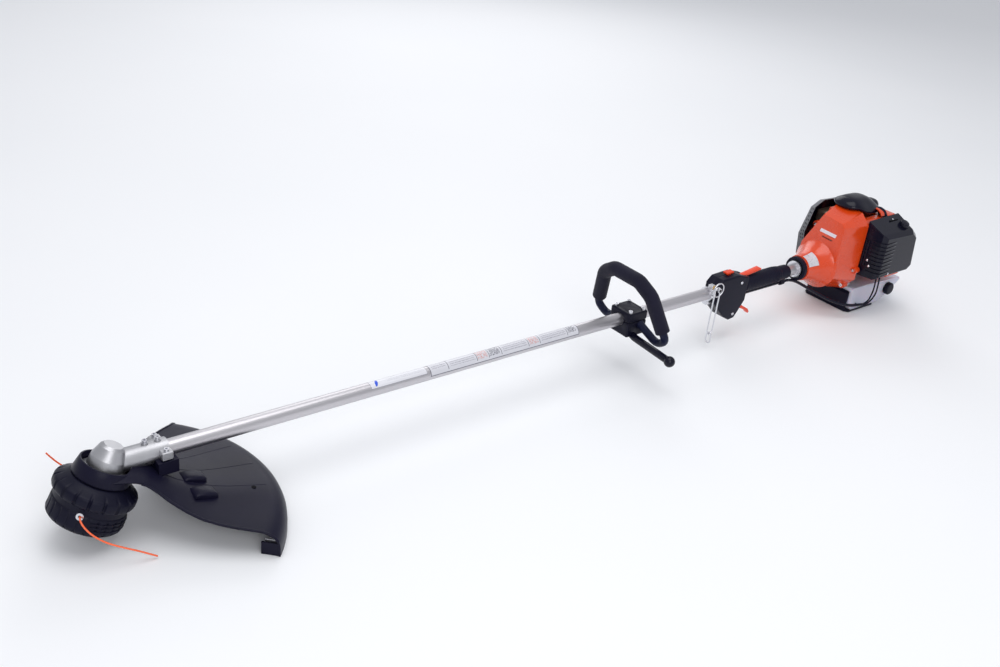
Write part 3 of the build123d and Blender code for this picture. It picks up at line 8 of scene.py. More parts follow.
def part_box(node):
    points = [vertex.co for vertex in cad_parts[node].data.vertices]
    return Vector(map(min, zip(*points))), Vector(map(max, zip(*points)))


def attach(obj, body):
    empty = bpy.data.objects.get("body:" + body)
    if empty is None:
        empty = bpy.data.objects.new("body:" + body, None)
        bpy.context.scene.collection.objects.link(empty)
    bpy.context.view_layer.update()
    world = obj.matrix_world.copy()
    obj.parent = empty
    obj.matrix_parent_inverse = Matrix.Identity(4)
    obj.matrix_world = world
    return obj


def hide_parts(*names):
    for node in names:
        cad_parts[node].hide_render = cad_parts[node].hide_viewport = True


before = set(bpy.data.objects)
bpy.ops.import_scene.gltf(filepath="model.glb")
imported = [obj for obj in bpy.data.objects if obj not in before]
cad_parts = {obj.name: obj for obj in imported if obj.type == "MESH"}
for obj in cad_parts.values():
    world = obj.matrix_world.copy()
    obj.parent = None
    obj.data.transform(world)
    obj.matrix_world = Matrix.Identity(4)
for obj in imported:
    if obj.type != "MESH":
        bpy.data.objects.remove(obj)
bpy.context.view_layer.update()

# ---- the studio ----------------------------------------------------------------------------
# A pale seamless floor, three broad lamps and a bright even surround. The camera looks down
# the tool from ahead of the head and to the left, a little above it.
camera_data = bpy.data.cameras.new("camera")
camera_data.sensor_width = 36.0
camera_data.lens = 40.93
camera_data.clip_end = 60.0
camera = bpy.data.objects.new("camera", camera_data)
bpy.context.scene.collection.objects.link(camera)
CAMERA_RIGHT = Vector((0.785, -0.6117, 0.1016)).normalized()
CAMERA_AHEAD = Vector((0.582, 0.670, -0.4606)).normalized()
camera_up = CAMERA_RIGHT.cross(CAMERA_AHEAD)
turn = Matrix((CAMERA_RIGHT, camera_up, -CAMERA_AHEAD)).transposed().to_4x4()
camera.matrix_world = Matrix.Translation((-2.2506, -1.3757, 1.1046)) @ turn
bpy.context.scene.camera = camera
bpy.context.scene.view_settings.view_transform = "Standard"

world = bpy.data.worlds.new("surround")
bpy.context.scene.world = world
world.use_nodes = True
world.node_tree.nodes["Background"].inputs["Color"].default_value = (0.93, 0.95, 1.0, 1)
world.node_tree.nodes["Background"].inputs["Strength"].default_value = 0.60


def lamp(name, place, target, size, power):
    """A square soft lamp that faces a point."""
    light = bpy.data.lights.new(name, "AREA")
    light.shape = "SQUARE"
    light.size = size
    light.energy = power
    holder = bpy.data.objects.new(name, light)
    holder.location = place
    holder.rotation_euler = (Vector(target) - Vector(place)).to_track_quat("-Z", "Y").to_euler()
    bpy.context.scene.collection.objects.link(holder)


TOOL_MIDDLE = (-0.9, 0.0, 0.1)
lamp("overhead", (-1.2, -0.3, 3.2), TOOL_MIDDLE, 2.6, 46)
lamp("left_bank", (-2.6, -3.0, 1.9), TOOL_MIDDLE, 1.8, 32)
lamp("rear_bank", (0.8, 2.8, 2.0), TOOL_MIDDLE, 2.2, 26)


class Level:
    """A number that changes over a surface. Arithmetic on it adds Math nodes."""

    def __init__(self, finish, socket):
        self.finish = finish
        self.socket = socket

    def _maths(self, operation, first, second=0.0, clamp=False):
        settings = {"operation": operation, "use_clamp": clamp}
        return self.finish.node("ShaderNodeMath", settings, {0: first, 1: second})

    def __add__(self, other):
        return self._maths("ADD", self, other)

    def __radd__(self, other):
        return self._maths("ADD", other, self)

    def __sub__(self, other):
        return self._maths("SUBTRACT", self, other)

    def __rsub__(self, other):
        return self._maths("SUBTRACT", other, self)

    def __mul__(self, other):
        return self._maths("MULTIPLY", self, other)

    def __rmul__(self, other):
        return self._maths("MULTIPLY", other, self)

    def __gt__(self, other):
        return self._maths("GREATER_THAN", self, other)

    def __lt__(self, other):
        return self._maths("LESS_THAN", self, other)

    def clamped(self):
        return self._maths("ADD", self, 0.0, clamp=True)


class Finish:
    """One finish: a material, its shader and the nodes that vary it."""

    def __init__(self, name, **constants):
        self.material = bpy.data.materials.new(name)
        self.material.use_nodes = True
        self.tree = self.material.node_tree
        self.shader = self.tree.nodes["Principled BSDF"]
        for socket, value in constants.items():
            self.shader.inputs[socket.replace("_", " ")].default_value = value
        self.place = self.node("ShaderNodeTexCoord", output="Object")

    def node(self, kind, settings=None, inputs=None, output=0):
        made = self.tree.nodes.new(kind)
        for name, value in (settings or {}).items():
            setattr(made, name, value)
        for key, value in (inputs or {}).items():
            if isinstance(value, Level):
                self.tree.links.new(value.socket, made.inputs[key])
            else:
                made.inputs[key].default_value = value
        return Level(self, made.outputs[output])

    def feed(self, **sockets):
        for socket, level in sockets.items():
            self.tree.links.new(level.socket, self.shader.inputs[socket.replace("_", " ")])
        return self

    def stretched(self, scale, turn=(0, 0, 0), shift=(0, 0, 0)):
        return self.node("ShaderNodeMapping", {}, {"Vector": self.place, "Scale": scale,
                                                  "Rotation": turn, "Location": shift})

    def noise(self, scale, detail=3.0, roughness=0.5, at=None):
        return self.node("ShaderNodeTexNoise", {}, {"Vector": at or self.place, "Scale": scale,
                                                   "Detail": detail, "Roughness": roughness},
                         output="Fac")

    def cells(self, scale, at=None, feature="F1"):
        return self.node("ShaderNodeTexVoronoi", {"feature": feature},
                         {"Vector": at or self.place, "Scale": scale}, output="Distance")

    def blend(self, amount, first, second):
        return self.node("ShaderNodeMix", {"data_type": "RGBA"}, {0: amount, 6: first, 7: second},
                         output=2)

    def relief(self, height, strength, depth, below=None):
        inputs = {"Height": height, "Strength": strength, "Distance": depth}
        if below is not None:
            inputs["Normal"] = below
        return self.node("ShaderNodeBump", {}, inputs)


def moulded(name, shade, worn, rough, grain, coat=0.0, grain_scale=1800.0, spread=0.06):
    """Moulded plastic: broad cloudy tone, fine spark-eroded grain and slightly uneven gloss."""
    sheen = 0.45 if max(shade[:3]) > 0.1 else 0.14
    finish = Finish(name, Coat_Weight=coat, Coat_Roughness=0.12, Specular_IOR_Level=sheen)
    cloud = finish.noise(9.0, 4.0)
    smear = finish.noise(42.0, 3.0, 0.6)
    tone = finish.blend((cloud * 0.7 + smear * 0.5 - 0.25).clamped(), shade, worn)
    texture = finish.noise(grain_scale, 2.0)
    return finish.feed(Base_Color=tone, Roughness=smear * spread + (rough - spread / 2),
                       Normal=finish.relief(texture, grain, 0.0004)).material


def metal(name, shade, dull, rough, grain, streak=(1, 1, 1), grain_scale=700.0, spread=0.12,
          metallic=1.0):
    """Bare metal: a surface texture that may run one way, with dull patches between it."""
    finish = Finish(name, Metallic=metallic)
    lay = finish.stretched(streak)
    fine = finish.noise(grain_scale, 3.0, 0.6, at=lay)
    patch = finish.noise(14.0, 3.0, 0.55)
    tone = finish.blend((patch * 1.3 - 0.2).clamped(), shade, dull)
    return finish.feed(Base_Color=tone, Roughness=fine * spread + patch * 0.08 + (rough - 0.1),
                       Normal=finish.relief(fine, grain, 0.0003)).material


floor_finish = Finish("studio_floor", Roughness=0.7)
floor_tone = floor_finish.blend(floor_finish.noise(1.2, 2.0), (0.86, 0.87, 0.89, 1),
                                (0.9, 0.905, 0.92, 1))
floor_finish.feed(Base_Color=floor_tone)
floor_mesh = bpy.data.meshes.new("studio_floor")
floor_mesh.from_pydata([(-14, -14, -0.0005), (14, -14, -0.0005), (14, 14, -0.0005), (-14, 14, -0.0005)],
                       [], [(0, 1, 2, 3)])
floor_mesh.materials.append(floor_finish.material)
floor = bpy.data.objects.new("studio_floor", floor_mesh)
bpy.context.scene.collection.objects.link(floor)

# ---- trimmer lines -------------------------------------------------------------------------
# Two free ends of one extruded nylon line, 2.7 mm thick. They leave the head's eyelets and
# curl with the set that the spool gave them; each tip is cut square and frayed by use.
MM = 0.001
shaft_low, shaft_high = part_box("drive_pipe")
SHAFT_Z = (shaft_low.z + shaft_high.z) / 2
GEAR_X = shaft_low.x - 41 * MM
LINE_DIAMETER = 2.7 * MM
NEAR_ROUTE = [(-53.5, -42.1, -42.4), (-61, -53.4, -38.9), (-54, -66, -56), (-36, -76, -74),
              (-12, -84, -88), (10, -90, -99), (34, -96, -114)]
FAR_ROUTE = [(1.9, 42.1, -68.2), (9.4, 53.4, -71.7), (14, 72, -76), (6, 94, -78),
             (-14, 112, -72), (-32, 122, -58), (-45, 125, -38)]

nylon = Finish("line_nylon", Roughness=0.38, Coat_Weight=0.25, Subsurface_Weight=0.12,
               Subsurface_Scale=0.002)
line_streak = nylon.noise(900.0, 3.0, 0.6, at=nylon.stretched((1, 0.25, 1)))
line_tone = nylon.blend(line_streak, (0.86, 0.085, 0.018, 1), (0.93, 0.19, 0.06, 1))
nylon.feed(Base_Color=line_tone, Normal=nylon.relief(line_streak, 0.35, 0.0003))


def spline_curve(name, points, radius, finish):
    """A round curve whose open smooth spline has the given control points."""
    curve = bpy.data.curves.new(name, "CURVE")
    curve.dimensions = "3D"
    spline = curve.splines.new("NURBS")
    spline.points.add(len(points) - 1)
    for control, point in zip(spline.points, points):
        control.co = (*point, 1.0)
    spline.order_u = 3
    spline.use_endpoint_u = True
    spline.resolution_u = 10
    curve.bevel_depth = radius
    curve.bevel_resolution = 4
    curve.use_fill_caps = True
    curve.materials.append(finish)
    made = bpy.data.objects.new(name, curve)
    bpy.context.scene.collection.objects.link(made)
    return made


def spline_line(points):
    """The smooth centre line of a route, as a list of points, and its length."""
    bare = spline_curve("measure", points, 0.0, nylon.material)
    bpy.context.view_layer.update()
    evaluated = bare.evaluated_get(bpy.context.evaluated_depsgraph_get())
    mesh = bpy.data.meshes.new_from_object(evaluated)
    line = [v.co.copy() for v in mesh.vertices]
    bpy.data.meshes.remove(mesh)
    bpy.data.objects.remove(bare)
    return line, sum((b - a).length for a, b in zip(line, line[1:]))


for node, route in (("trimmer_line_near", NEAR_ROUTE), ("trimmer_line_far", FAR_ROUTE)):
    points = [Vector((GEAR_X + x * MM, y * MM, SHAFT_Z + z * MM)) for x, y, z in route]
    line, length = spline_line(points)
    whip = spline_curve(node.replace("trimmer_line", "nylon_line"), points, LINE_DIAMETER / 2,
                        nylon.material)
    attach(whip, "head")
    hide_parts(node)

# ---- gear case, bearings and gears ---------------------------------------------------------
# The case is pressure-cast aluminium, fettled and bead blasted, with a slit neck that two
# screws pinch onto the pipe. Inside are plain steel rings, two bevel gears and the output shaft.
HEAD_TILT = math.radians(65)
OUTPUT = Vector((math.cos(HEAD_TILT), 0, math.sin(HEAD_TILT)))
HEAD_SIDE = Vector((math.sin(HEAD_TILT), 0, -math.cos(HEAD_TILT)))
SHAFT_MM = SHAFT_Z / MM
GEAR_MM = GEAR_X / MM


def axes(origin, x, y, z):
    """A frame in millimetres from its origin and three directions."""
    return Matrix.Translation(origin) @ Matrix((x, y, z)).transposed().to_4x4()


ON_FLOOR = Matrix.Identity(4)
ON_SHAFT = Matrix.Translation((0, 0, SHAFT_MM))
ROUND_SHAFT = axes((0, 0, SHAFT_MM), (0, 1, 0), (0, 0, 1), (1, 0, 0))
ON_HEAD = axes((GEAR_MM, 0, SHAFT_MM), HEAD_SIDE, (0, 1, 0), OUTPUT)


class Shape:
    """Points in millimetres and faces, gathered for one piece."""

    def __init__(self):
        self.points = []
        self.faces = []

    def add(self, points, faces, place=ON_SHAFT):
        base = len(self.points)
        self.points += [place @ Vector(p) for p in points]
        self.faces += [tuple(base + i for i in face) for face in faces]
        return self

    def skin(self, rings, place=ON_SHAFT, capped=True, wrap=False):
        """A skin over rings of equal counts; it is capped, or wraps round to the first ring."""
        count = len(rings[0])
        points = [p for outline in rings for p in outline]
        faces = []
        for r in range(len(rings) if wrap else len(rings) - 1):
            low = r * count
            high = (r + 1) % len(rings) * count
            faces += [(low + i, low + (i + 1) % count, high + (i + 1) % count, high + i)
                      for i in range(count)]
        if capped and not wrap:
            faces.append(tuple(reversed(range(count))))
            faces.append(tuple(range((len(rings) - 1) * count, len(rings) * count)))
        return self.add(points, faces, place)

    def lathe(self, profile, place=ON_SHAFT, steps=64, wrap=False, radius_at=None):
        """A turned shape from (radius, height) points; radius_at may change a radius by angle."""
        rings = []
        for radius, height in profile:
            around = []
            for i in range(steps):
                angle = math.tau * i / steps
                r = radius_at(radius, height, angle) if radius_at else radius
                around.append((r * math.cos(angle), r * math.sin(angle), height))
            rings.append(around)
        return self.skin(rings, place, wrap=wrap)

    def prism(self, outline, low, high, place=ON_SHAFT):
        """An outline in the frame's x and y, from one height to another."""
        return self.skin([[(x, y, low) for x, y in outline], [(x, y, high) for x, y in outline]],
                         place)

    def cup(self, outer, inner, place=ON_SHAFT):
        """A hollow shape that opens at its first rings, with the rim between them closed."""
        count = len(outer[0])
        start = len(outer) * count
        faces = [(i, (i + 1) % count, start + (i + 1) % count, start + i) for i in range(count)]
        for first, rows in ((0, len(outer)), (start, len(inner))):
            last = first + (rows - 1) * count
            for low in range(first, last, count):
                faces += [(low + i, low + (i + 1) % count, low + count + (i + 1) % count,
                           low + count + i) for i in range(count)]
            faces.append(tuple(range(last, last + count)))
        return self.add([p for ring in outer + inner for p in ring], faces, place)

    def slab(self, centre, size, place=ON_SHAFT):
        """A block about its centre."""
        x, y, z = centre
        a, b, c = (s / 2 for s in size)
        outline = [(x - a, y - b), (x + a, y - b), (x + a, y + b), (x - a, y + b)]
        return self.prism(outline, z - c, z + c, place)

    def show(self, name, finish, body, slot, replaces=(), **fitting):
        """Puts the shape in the scene as one piece."""
        return placed(name, self.mesh(name, finish), body, slot, replaces, **fitting)

    def mesh(self, name, finish):
        """The shape as a closed mesh in metres, with its normals outward."""
        made = bpy.data.meshes.new(name)
        made.from_pydata([tuple(p * MM) for p in self.points], [], self.faces)
        tidy = bmesh.new()
        tidy.from_mesh(made)
        bmesh.ops.remove_doubles(tidy, verts=tidy.verts, dist=2e-6)
        bmesh.ops.recalc_face_normals(tidy, faces=tidy.faces)
        tidy.to_mesh(made)
        tidy.free()
        made.materials.append(finish)
        return made


def placed(name, mesh, body, slot, replaces=(), bevel=0.0, limit=32, segments=2, levels=0):
    """Puts a mesh in the scene on its body, with rounded edges or a smooth subdivision."""
    mesh.polygons.foreach_set("use_smooth", [True] * len(mesh.polygons))
    made = bpy.data.objects.new(name, mesh)
    bpy.context.scene.collection.objects.link(made)
    if bevel:
        rounding = made.modifiers.new("rounding", "BEVEL")
        rounding.width = bevel * MM
        rounding.segments = segments
        rounding.limit_method = "ANGLE"
        rounding.angle_limit = math.radians(limit)
        rounding.harden_normals = True
    elif not levels:
        mesh.set_sharp_from_angle(angle=math.radians(limit))
    if levels:
        smooth = made.modifiers.new("smooth", "SUBSURF")
        smooth.levels = levels
        smooth.render_levels = levels
    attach(made, body)
    if replaces:
        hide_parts(*replaces)
    return made


def softened(name, node, body, slot, finish, bevel, limit=38):
    """The CAD shape with its sharp edges broken by a small radius."""
    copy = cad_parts[node].data.copy()
    copy.name = name
    copy.materials.clear()
    copy.materials.append(finish)
    tidy = bmesh.new()
    tidy.from_mesh(copy)
    bmesh.ops.remove_doubles(tidy, verts=tidy.verts, dist=2e-6)
    bmesh.ops.dissolve_limit(tidy, angle_limit=math.radians(0.6), verts=tidy.verts,
                             edges=tidy.edges)
    bmesh.ops.recalc_face_normals(tidy, faces=tidy.faces)
    tidy.to_mesh(copy)
    tidy.free()
    made = placed(name, copy, body, slot, (node,), bevel, limit)
    made.modifiers["rounding"].use_clamp_overlap = True
    return made


def paint(finish, *nodes):
    """Gives CAD nodes a finish; their meshes stay as they are."""
    for node in nodes:
        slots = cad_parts[node].data.materials
        slots.clear()
        slots.append(finish)


cast = metal("cast_aluminium", (0.56, 0.56, 0.58, 1), (0.40, 0.40, 0.42, 1), 0.42, 0.55,
             grain_scale=520.0)
machined = metal("machined_steel", (0.60, 0.60, 0.62, 1), (0.42, 0.42, 0.44, 1), 0.34, 0.15,
                 streak=(0.1, 1, 1))
paint(cast, "gear_case")
paint(machined, "ball_bearings", "pinion", "driven_gear", "output_shaft", "drive_shaft")


def repeater():
    """Nodes that set one shape on every point, turned and stretched as the point says."""
    tree = bpy.data.node_groups.new("repeat_on_points", "GeometryNodeTree")
    for label, kind, way in (("Points", "NodeSocketGeometry", "INPUT"),
                             ("Shape", "NodeSocketObject", "INPUT"),
                             ("Size", "NodeSocketFloat", "INPUT"),
                             ("Finish", "NodeSocketMaterial", "INPUT"),
                             ("Pieces", "NodeSocketGeometry", "OUTPUT")):
        tree.interface.new_socket(name=label, in_out=way, socket_type=kind)

    def node(kind, **settings):
        made = tree.nodes.new(kind)
        for key, value in settings.items():
            setattr(made, key, value)
        return made

    ask, give = node("NodeGroupInput"), node("NodeGroupOutput")
    turn_of = node("GeometryNodeInputNamedAttribute", data_type="FLOAT_VECTOR")
    turn_of.inputs["Name"].default_value = "turn"
    stretch_of = node("GeometryNodeInputNamedAttribute", data_type="FLOAT_VECTOR")
    stretch_of.inputs["Name"].default_value = "stretch"
    rotation = node("FunctionNodeEulerToRotation")
    shape_of = node("GeometryNodeObjectInfo")
    sized = node("ShaderNodeVectorMath", operation="SCALE")
    instances = node("GeometryNodeInstanceOnPoints")
    real = node("GeometryNodeRealizeInstances")
    finish_of = node("GeometryNodeSetMaterial")
    link = tree.links.new
    link(turn_of.outputs["Attribute"], rotation.inputs["Euler"])
    link(stretch_of.outputs["Attribute"], sized.inputs[0])
    link(ask.outputs["Size"], sized.inputs["Scale"])
    link(ask.outputs["Shape"], shape_of.inputs["Object"])
    link(ask.outputs["Points"], instances.inputs["Points"])
    link(shape_of.outputs["Geometry"], instances.inputs["Instance"])
    link(rotation.outputs["Rotation"], instances.inputs["Rotation"])
    link(sized.outputs["Vector"], instances.inputs["Scale"])
    link(instances.outputs["Instances"], real.inputs["Geometry"])
    link(real.outputs["Geometry"], finish_of.inputs["Geometry"])
    link(ask.outputs["Finish"], finish_of.inputs["Material"])
    link(finish_of.outputs["Geometry"], give.inputs["Pieces"])
    return tree


REPEATER = repeater()


def repeated(name, shape, places, body, slot, finish, size=1.0, **fitting):
    """The same shape at every place, made by the nodes and kept as one plain mesh."""
    pattern = bpy.data.objects.new("pattern", shape.mesh("pattern", finish))
    carrier_mesh = bpy.data.meshes.new("points")
    carrier_mesh.from_pydata([tuple(place.translation * MM) for place, _ in places], [], [])
    turns = carrier_mesh.attributes.new("turn", "FLOAT_VECTOR", "POINT")
    stretches = carrier_mesh.attributes.new("stretch", "FLOAT_VECTOR", "POINT")
    turns.data.foreach_set("vector", [c for place, _ in places for c in place.to_euler()])
    stretches.data.foreach_set("vector", [c for _, stretch in places for c in stretch])
    carrier = bpy.data.objects.new("points", carrier_mesh)
    bpy.context.scene.collection.objects.link(carrier)
    bpy.context.scene.collection.objects.link(pattern)
    modifier = carrier.modifiers.new("repeat", "NODES")
    modifier.node_group = REPEATER
    sockets = {s.name: s.identifier for s in REPEATER.interface.items_tree if s.in_out == "INPUT"}
    modifier[sockets["Shape"]] = pattern
    modifier[sockets["Size"]] = size
    modifier[sockets["Finish"]] = finish
    bpy.context.view_layer.update()
    evaluated = carrier.evaluated_get(bpy.context.evaluated_depsgraph_get())
    baked = bpy.data.meshes.new_from_object(evaluated)
    baked.name = name
    carrier.modifiers.remove(modifier)
    bpy.data.objects.remove(carrier)
    bpy.data.objects.remove(pattern)
    return placed(name, baked, body, slot, **fitting)


UNIT = (1, 1, 1)


def facing(point, normal, spin=0.0, place=ON_SHAFT):
    """A place whose z runs along a normal, turned about it by an angle."""
    normal = (place.to_3x3() @ Vector(normal)).normalized()
    turned = normal.to_track_quat("Z", "Y").to_matrix().to_4x4()
    return Matrix.Translation(place @ Vector(point)) @ turned @ Matrix.Rotation(spin, 4, "Z")


def cap_screw(radius, height, socket, depth):
    """The head of a socket screw: a chamfered cap with a hexagonal hole."""
    steps = 24
    hexagon = []
    for i in range(steps):
        angle = math.tau * i / steps
        reach = socket / math.cos((angle % (math.pi / 3)) - math.pi / 6)
        hexagon.append((reach * math.cos(angle), reach * math.sin(angle)))

    def circle(r, z):
        return [(r * math.cos(math.tau * i / steps), r * math.sin(math.tau * i / steps), z)
                for i in range(steps)]

    rings = [circle(radius - 0.2, 0), circle(radius, 0.2), circle(radius, height - 0.6),
             circle(radius - 0.6, height), [(x, y, height) for x, y in hexagon],
             [(x, y, height - depth) for x, y in hexagon]]
    return Shape().skin(rings, ON_FLOOR)


zinc = metal("bright_zinc", (0.80, 0.80, 0.83, 1), (0.58, 0.58, 0.63, 1), 0.24, 0.1)
flange_places = [(facing((30 * math.cos(a), 30 * math.sin(a), -6), (0, 0, 1), 0, ON_HEAD), UNIT)
                 for a in (math.radians(-72), math.radians(48), math.radians(168))]
repeated("flange_screws", cap_screw(3.0, 2.6, 1.2, 1.4), flange_places, "frame", "zinc_steel", zinc)

# ---- drive pipe and its labels -------------------------------------------------------------
# A drawn aluminium tube, 25.4 mm across, with a clear satin anodised skin that shows faint
# draw lines. Five nylon bushes carry the shaft. Two film labels are rolled onto the upper side.
pipe_satin = Finish("anodised_pipe", Metallic=1.0)
draw_lines = pipe_satin.noise(900.0, 3.0, 0.6, at=pipe_satin.stretched((0.004, 1, 1)))
pipe_cloud = pipe_satin.noise(5.0, 3.0, at=pipe_satin.stretched((0.5, 1, 1)))
pipe_tone = pipe_satin.blend((draw_lines * 0.6 + pipe_cloud * 0.5 - 0.05).clamped(),
                             (0.50, 0.48, 0.50, 1), (0.66, 0.645, 0.67, 1))
pipe_satin.feed(Base_Color=pipe_tone, Roughness=draw_lines * 0.14 + 0.31,
                Normal=pipe_satin.relief(draw_lines, 0.12, 0.0002))
grey_nylon = moulded("grey_nylon", (0.12, 0.12, 0.13, 1), (0.17, 0.17, 0.18, 1), 0.5, 0.2)
paint(pipe_satin.material, "drive_pipe")
paint(grey_nylon, "shaft_bushes")

PIPE_RADIUS = (shaft_high.z - shaft_low.z) / 2 / MM
FILM = 0.16


def sheet_faces(rows, columns):
    """Faces of a closed sheet: a grid of points, the same grid under it, and the four edges."""
    back = rows * columns
    faces = []
    for i in range(rows - 1):
        for j in range(columns - 1):
            a, b = i * columns + j, i * columns + j + 1
            c, d = b + columns, a + columns
            faces += [(a, b, c, d), (back + d, back + c, back + b, back + a)]
    edges = [(i * columns + j, (i + 1) * columns + j) for j in (0, columns - 1)
             for i in range(rows - 1)]
    edges += [(i * columns + j, i * columns + j + 1) for i in (0, rows - 1)
              for j in range(columns - 1)]
    return faces + [(a, b, back + b, back + a) for a, b in edges]


def wrapped_label(name, start, end, low, high, finish):
    """Film on the pipe between two places along it and two angles from the top to the left."""
    rows, columns = 61, 17
    points, uvs = [], []
    for radius in (PIPE_RADIUS + FILM, PIPE_RADIUS + 0.02):
        for i in range(rows):
            for j in range(columns):
                u, v = i / (rows - 1), j / (columns - 1)
                angle = math.radians(high + (low - high) * v)
                points.append((start + (end - start) * u, -radius * math.sin(angle),
                               radius * math.cos(angle)))
                uvs.append((u, v))
    mesh = bpy.data.meshes.new(name)
    mesh.from_pydata([tuple((ON_SHAFT @ Vector(p)) * MM) for p in points], [],
                     sheet_faces(rows, columns))
    layer = mesh.uv_layers.new(name="film")
    for loop in mesh.loops:
        layer.data[loop.index].uv = uvs[loop.vertex_index]
    tidy = bmesh.new()
    tidy.from_mesh(mesh)
    bmesh.ops.recalc_face_normals(tidy, faces=tidy.faces)
    tidy.to_mesh(mesh)
    tidy.free()
    mesh.materials.append(finish)
    return placed(name, mesh, "frame", "aluminium_pipe")


def film_finish(name):
    """Printed film: its finish, the two directions of its map, and a box, ink and rows on it."""
    film = Finish(name, Metallic=0.15, Coat_Weight=0.2, Coat_Roughness=0.2)
    flat = film.node("ShaderNodeTexCoord", output="UV")
    split = film.node("ShaderNodeSeparateXYZ", {}, {0: flat})
    u = Level(film, split.socket.node.outputs["X"])
    v = Level(film, split.socket.node.outputs["Y"])

    def patch(left, right, low, high):
        return (u > left) * (u < right) * (v > low) * (v < high)

    def ink(scale, detail, roughness, stretch):
        at = film.node("ShaderNodeMapping", {}, {"Vector": flat, "Scale": stretch})
        return film.noise(scale, detail, roughness, at=at)

    def rows(pitch):
        return film.node("ShaderNodeMath", {"operation": "SINE"}, {0: v * pitch})

    return film, u, v, patch, ink, rows


film, u, v, patch, ink, rows = film_finish("guidance_film")
strokes = (rows(46.0) > 0.1) * (ink(38.0, 3.0, 0.7, (8.0, 0.4, 1)) > 0.47)
text = (patch(0.125, 0.285, 0.30, 0.62) + patch(0.47, 0.63, 0.22, 0.86)
        + patch(0.735, 0.905, 0.22, 0.86) + patch(0.015, 0.10, 0.42, 0.72)).clamped()
signs = (patch(0.300, 0.365, 0.24, 0.84) + patch(0.650, 0.710, 0.24, 0.84)).clamped()
marks = (patch(0.380, 0.445, 0.24, 0.84) + patch(0.925, 0.980, 0.30, 0.80)).clamped()
blot = ink(22.0, 2.0, 0.6, (4.0, 1.0, 1))
rules = (1 - patch(0.004, 0.996, 0.055, 1.0))
for edge in (0.110, 0.293, 0.372, 0.455, 0.640, 0.718, 0.915):
    rules = rules + patch(edge, edge + 0.0035, 0.16, 0.94)
sheet_tone = film.blend(film.noise(30.0, 2.0), (0.60, 0.60, 0.65, 1), (0.68, 0.68, 0.72, 1))
inked = film.blend(strokes * text * 0.62, sheet_tone, (0.20, 0.19, 0.24, 1))
inked = film.blend(signs * (blot > 0.52) * 0.75, inked, (0.62, 0.20, 0.16, 1))
inked = film.blend(marks * (blot > 0.50) * 0.85, inked, (0.09, 0.09, 0.12, 1))
inked = film.blend(rules.clamped() * 0.85, inked, (0.06, 0.06, 0.09, 1))
film.feed(Base_Color=inked, Roughness=blot * 0.08 + 0.36)
wrapped_label("guidance_label", -1213, -868, -42, 92, film.material)

film, u, v, patch, ink, rows = film_finish("emblem_film")
leaf = ((v - 0.28) * 0.065 + 0.105 - u)
swoosh = ((leaf * leaf * 1400.0 + (v - 0.45) * (v - 0.45) * 9.0) < 0.9)
print_stroke = ink(34.0, 3.0, 0.7, (3.0, 0.4, 1)) > 0.5
sheet_tone = film.blend(film.noise(30.0, 2.0), (0.66, 0.66, 0.70, 1), (0.74, 0.74, 0.78, 1))
inked = film.blend((rows(42.0) > 0.2) * print_stroke * patch(0.30, 0.95, 0.25, 0.70) * 0.35, sheet_tone,
                   (0.30, 0.30, 0.36, 1))
inked = film.blend(swoosh, inked, (0.010, 0.075, 0.62, 1))
inked = film.blend(1 - patch(0.006, 0.994, 0.04, 1.0), inked, (0.30, 0.30, 0.34, 1))
film.feed(Base_Color=inked, Roughness=print_stroke * 0.05 + 0.34)
wrapped_label("emblem_label", -1333, -1219, -42, 60, film.material)

# ---- trimmer head --------------------------------------------------------------------------
# Glass-filled nylon: a notched crest over a fluted drum, a lower cover and a bump knob. Zinc
# eyelets keep the line from cutting the drum; spool and spring are inside.
black = moulded("black_plastic", (0.0045, 0.0045, 0.013, 1), (0.010, 0.010, 0.026, 1), 0.40, 0.22)
NOTCHES, FLUTES = 18, 24
EYELET_ANGLE = 234
head_profile = [(5, -20.4), (30, -20.4), (42, -20.4), (45, -21.4), (48, -24), (53, -27.4),
                (58, -30), (60.6, -31.6), (61.8, -34), (62, -38), (61.9, -43), (60.8, -46.4),
                (58.6, -48.4), (56, -50), (55, -52), (55.4, -56), (54.5, -58.5), (54.5, -60),
                (55.8, -61.5), (56.1, -66), (56.5, -78), (56.9, -82), (56.2, -85.4), (54.6, -87),
                (51, -87), (51, -60), (51, -30), (48, -28), (5, -28)]


def head_radius(radius, height, angle):
    """Rounded notches in the crest and shallow flutes down the drum."""
    if radius > 57.5 and height > -49:
        wave = abs((angle * NOTCHES / math.tau + 0.5) % 1 - 0.5)
        return radius - 3.2 * max(0.0, 1 - (wave / 0.11) ** 2) ** 0.5 if wave < 0.11 else radius
    if radius > 52.5 and height < -61.6:
        wave = abs((angle * FLUTES / math.tau) % 1 - 0.5)
        return radius - 1.5 * max(0.0, 1 - (wave / 0.16) ** 2) if wave < 0.16 else radius
    return radius


housing = Shape().lathe(head_profile, ON_HEAD, steps=288, wrap=True, radius_at=head_radius)
housing.show("head_shell", black, "head", "black_plastic", ("head_housing",), limit=40)
rib_bar = Shape().slab((0, 0, 0), (1.6, 15, 2.0), ON_FLOOR)
rib_places = []
for i in range(8):
    angle = math.radians(EYELET_ANGLE + 26 + i * 18)
    for height in (-67.5, -73.5, -79.5):
        out = Vector((math.cos(angle), math.sin(angle), 0))
        place = ON_HEAD @ Matrix.Translation((56.6 * out.x, 56.6 * out.y, height)) \
            @ Matrix.Rotation(angle, 4, "Z")
        rib_places.append((place, UNIT))
repeated("drum_ribs", rib_bar, rib_places, "head", "black_plastic", black, bevel=0.5)
paint(zinc, "line_eyelets")
paint(black, "head_base", "bump_knob", "spool")
paint(machined, "head_spring")

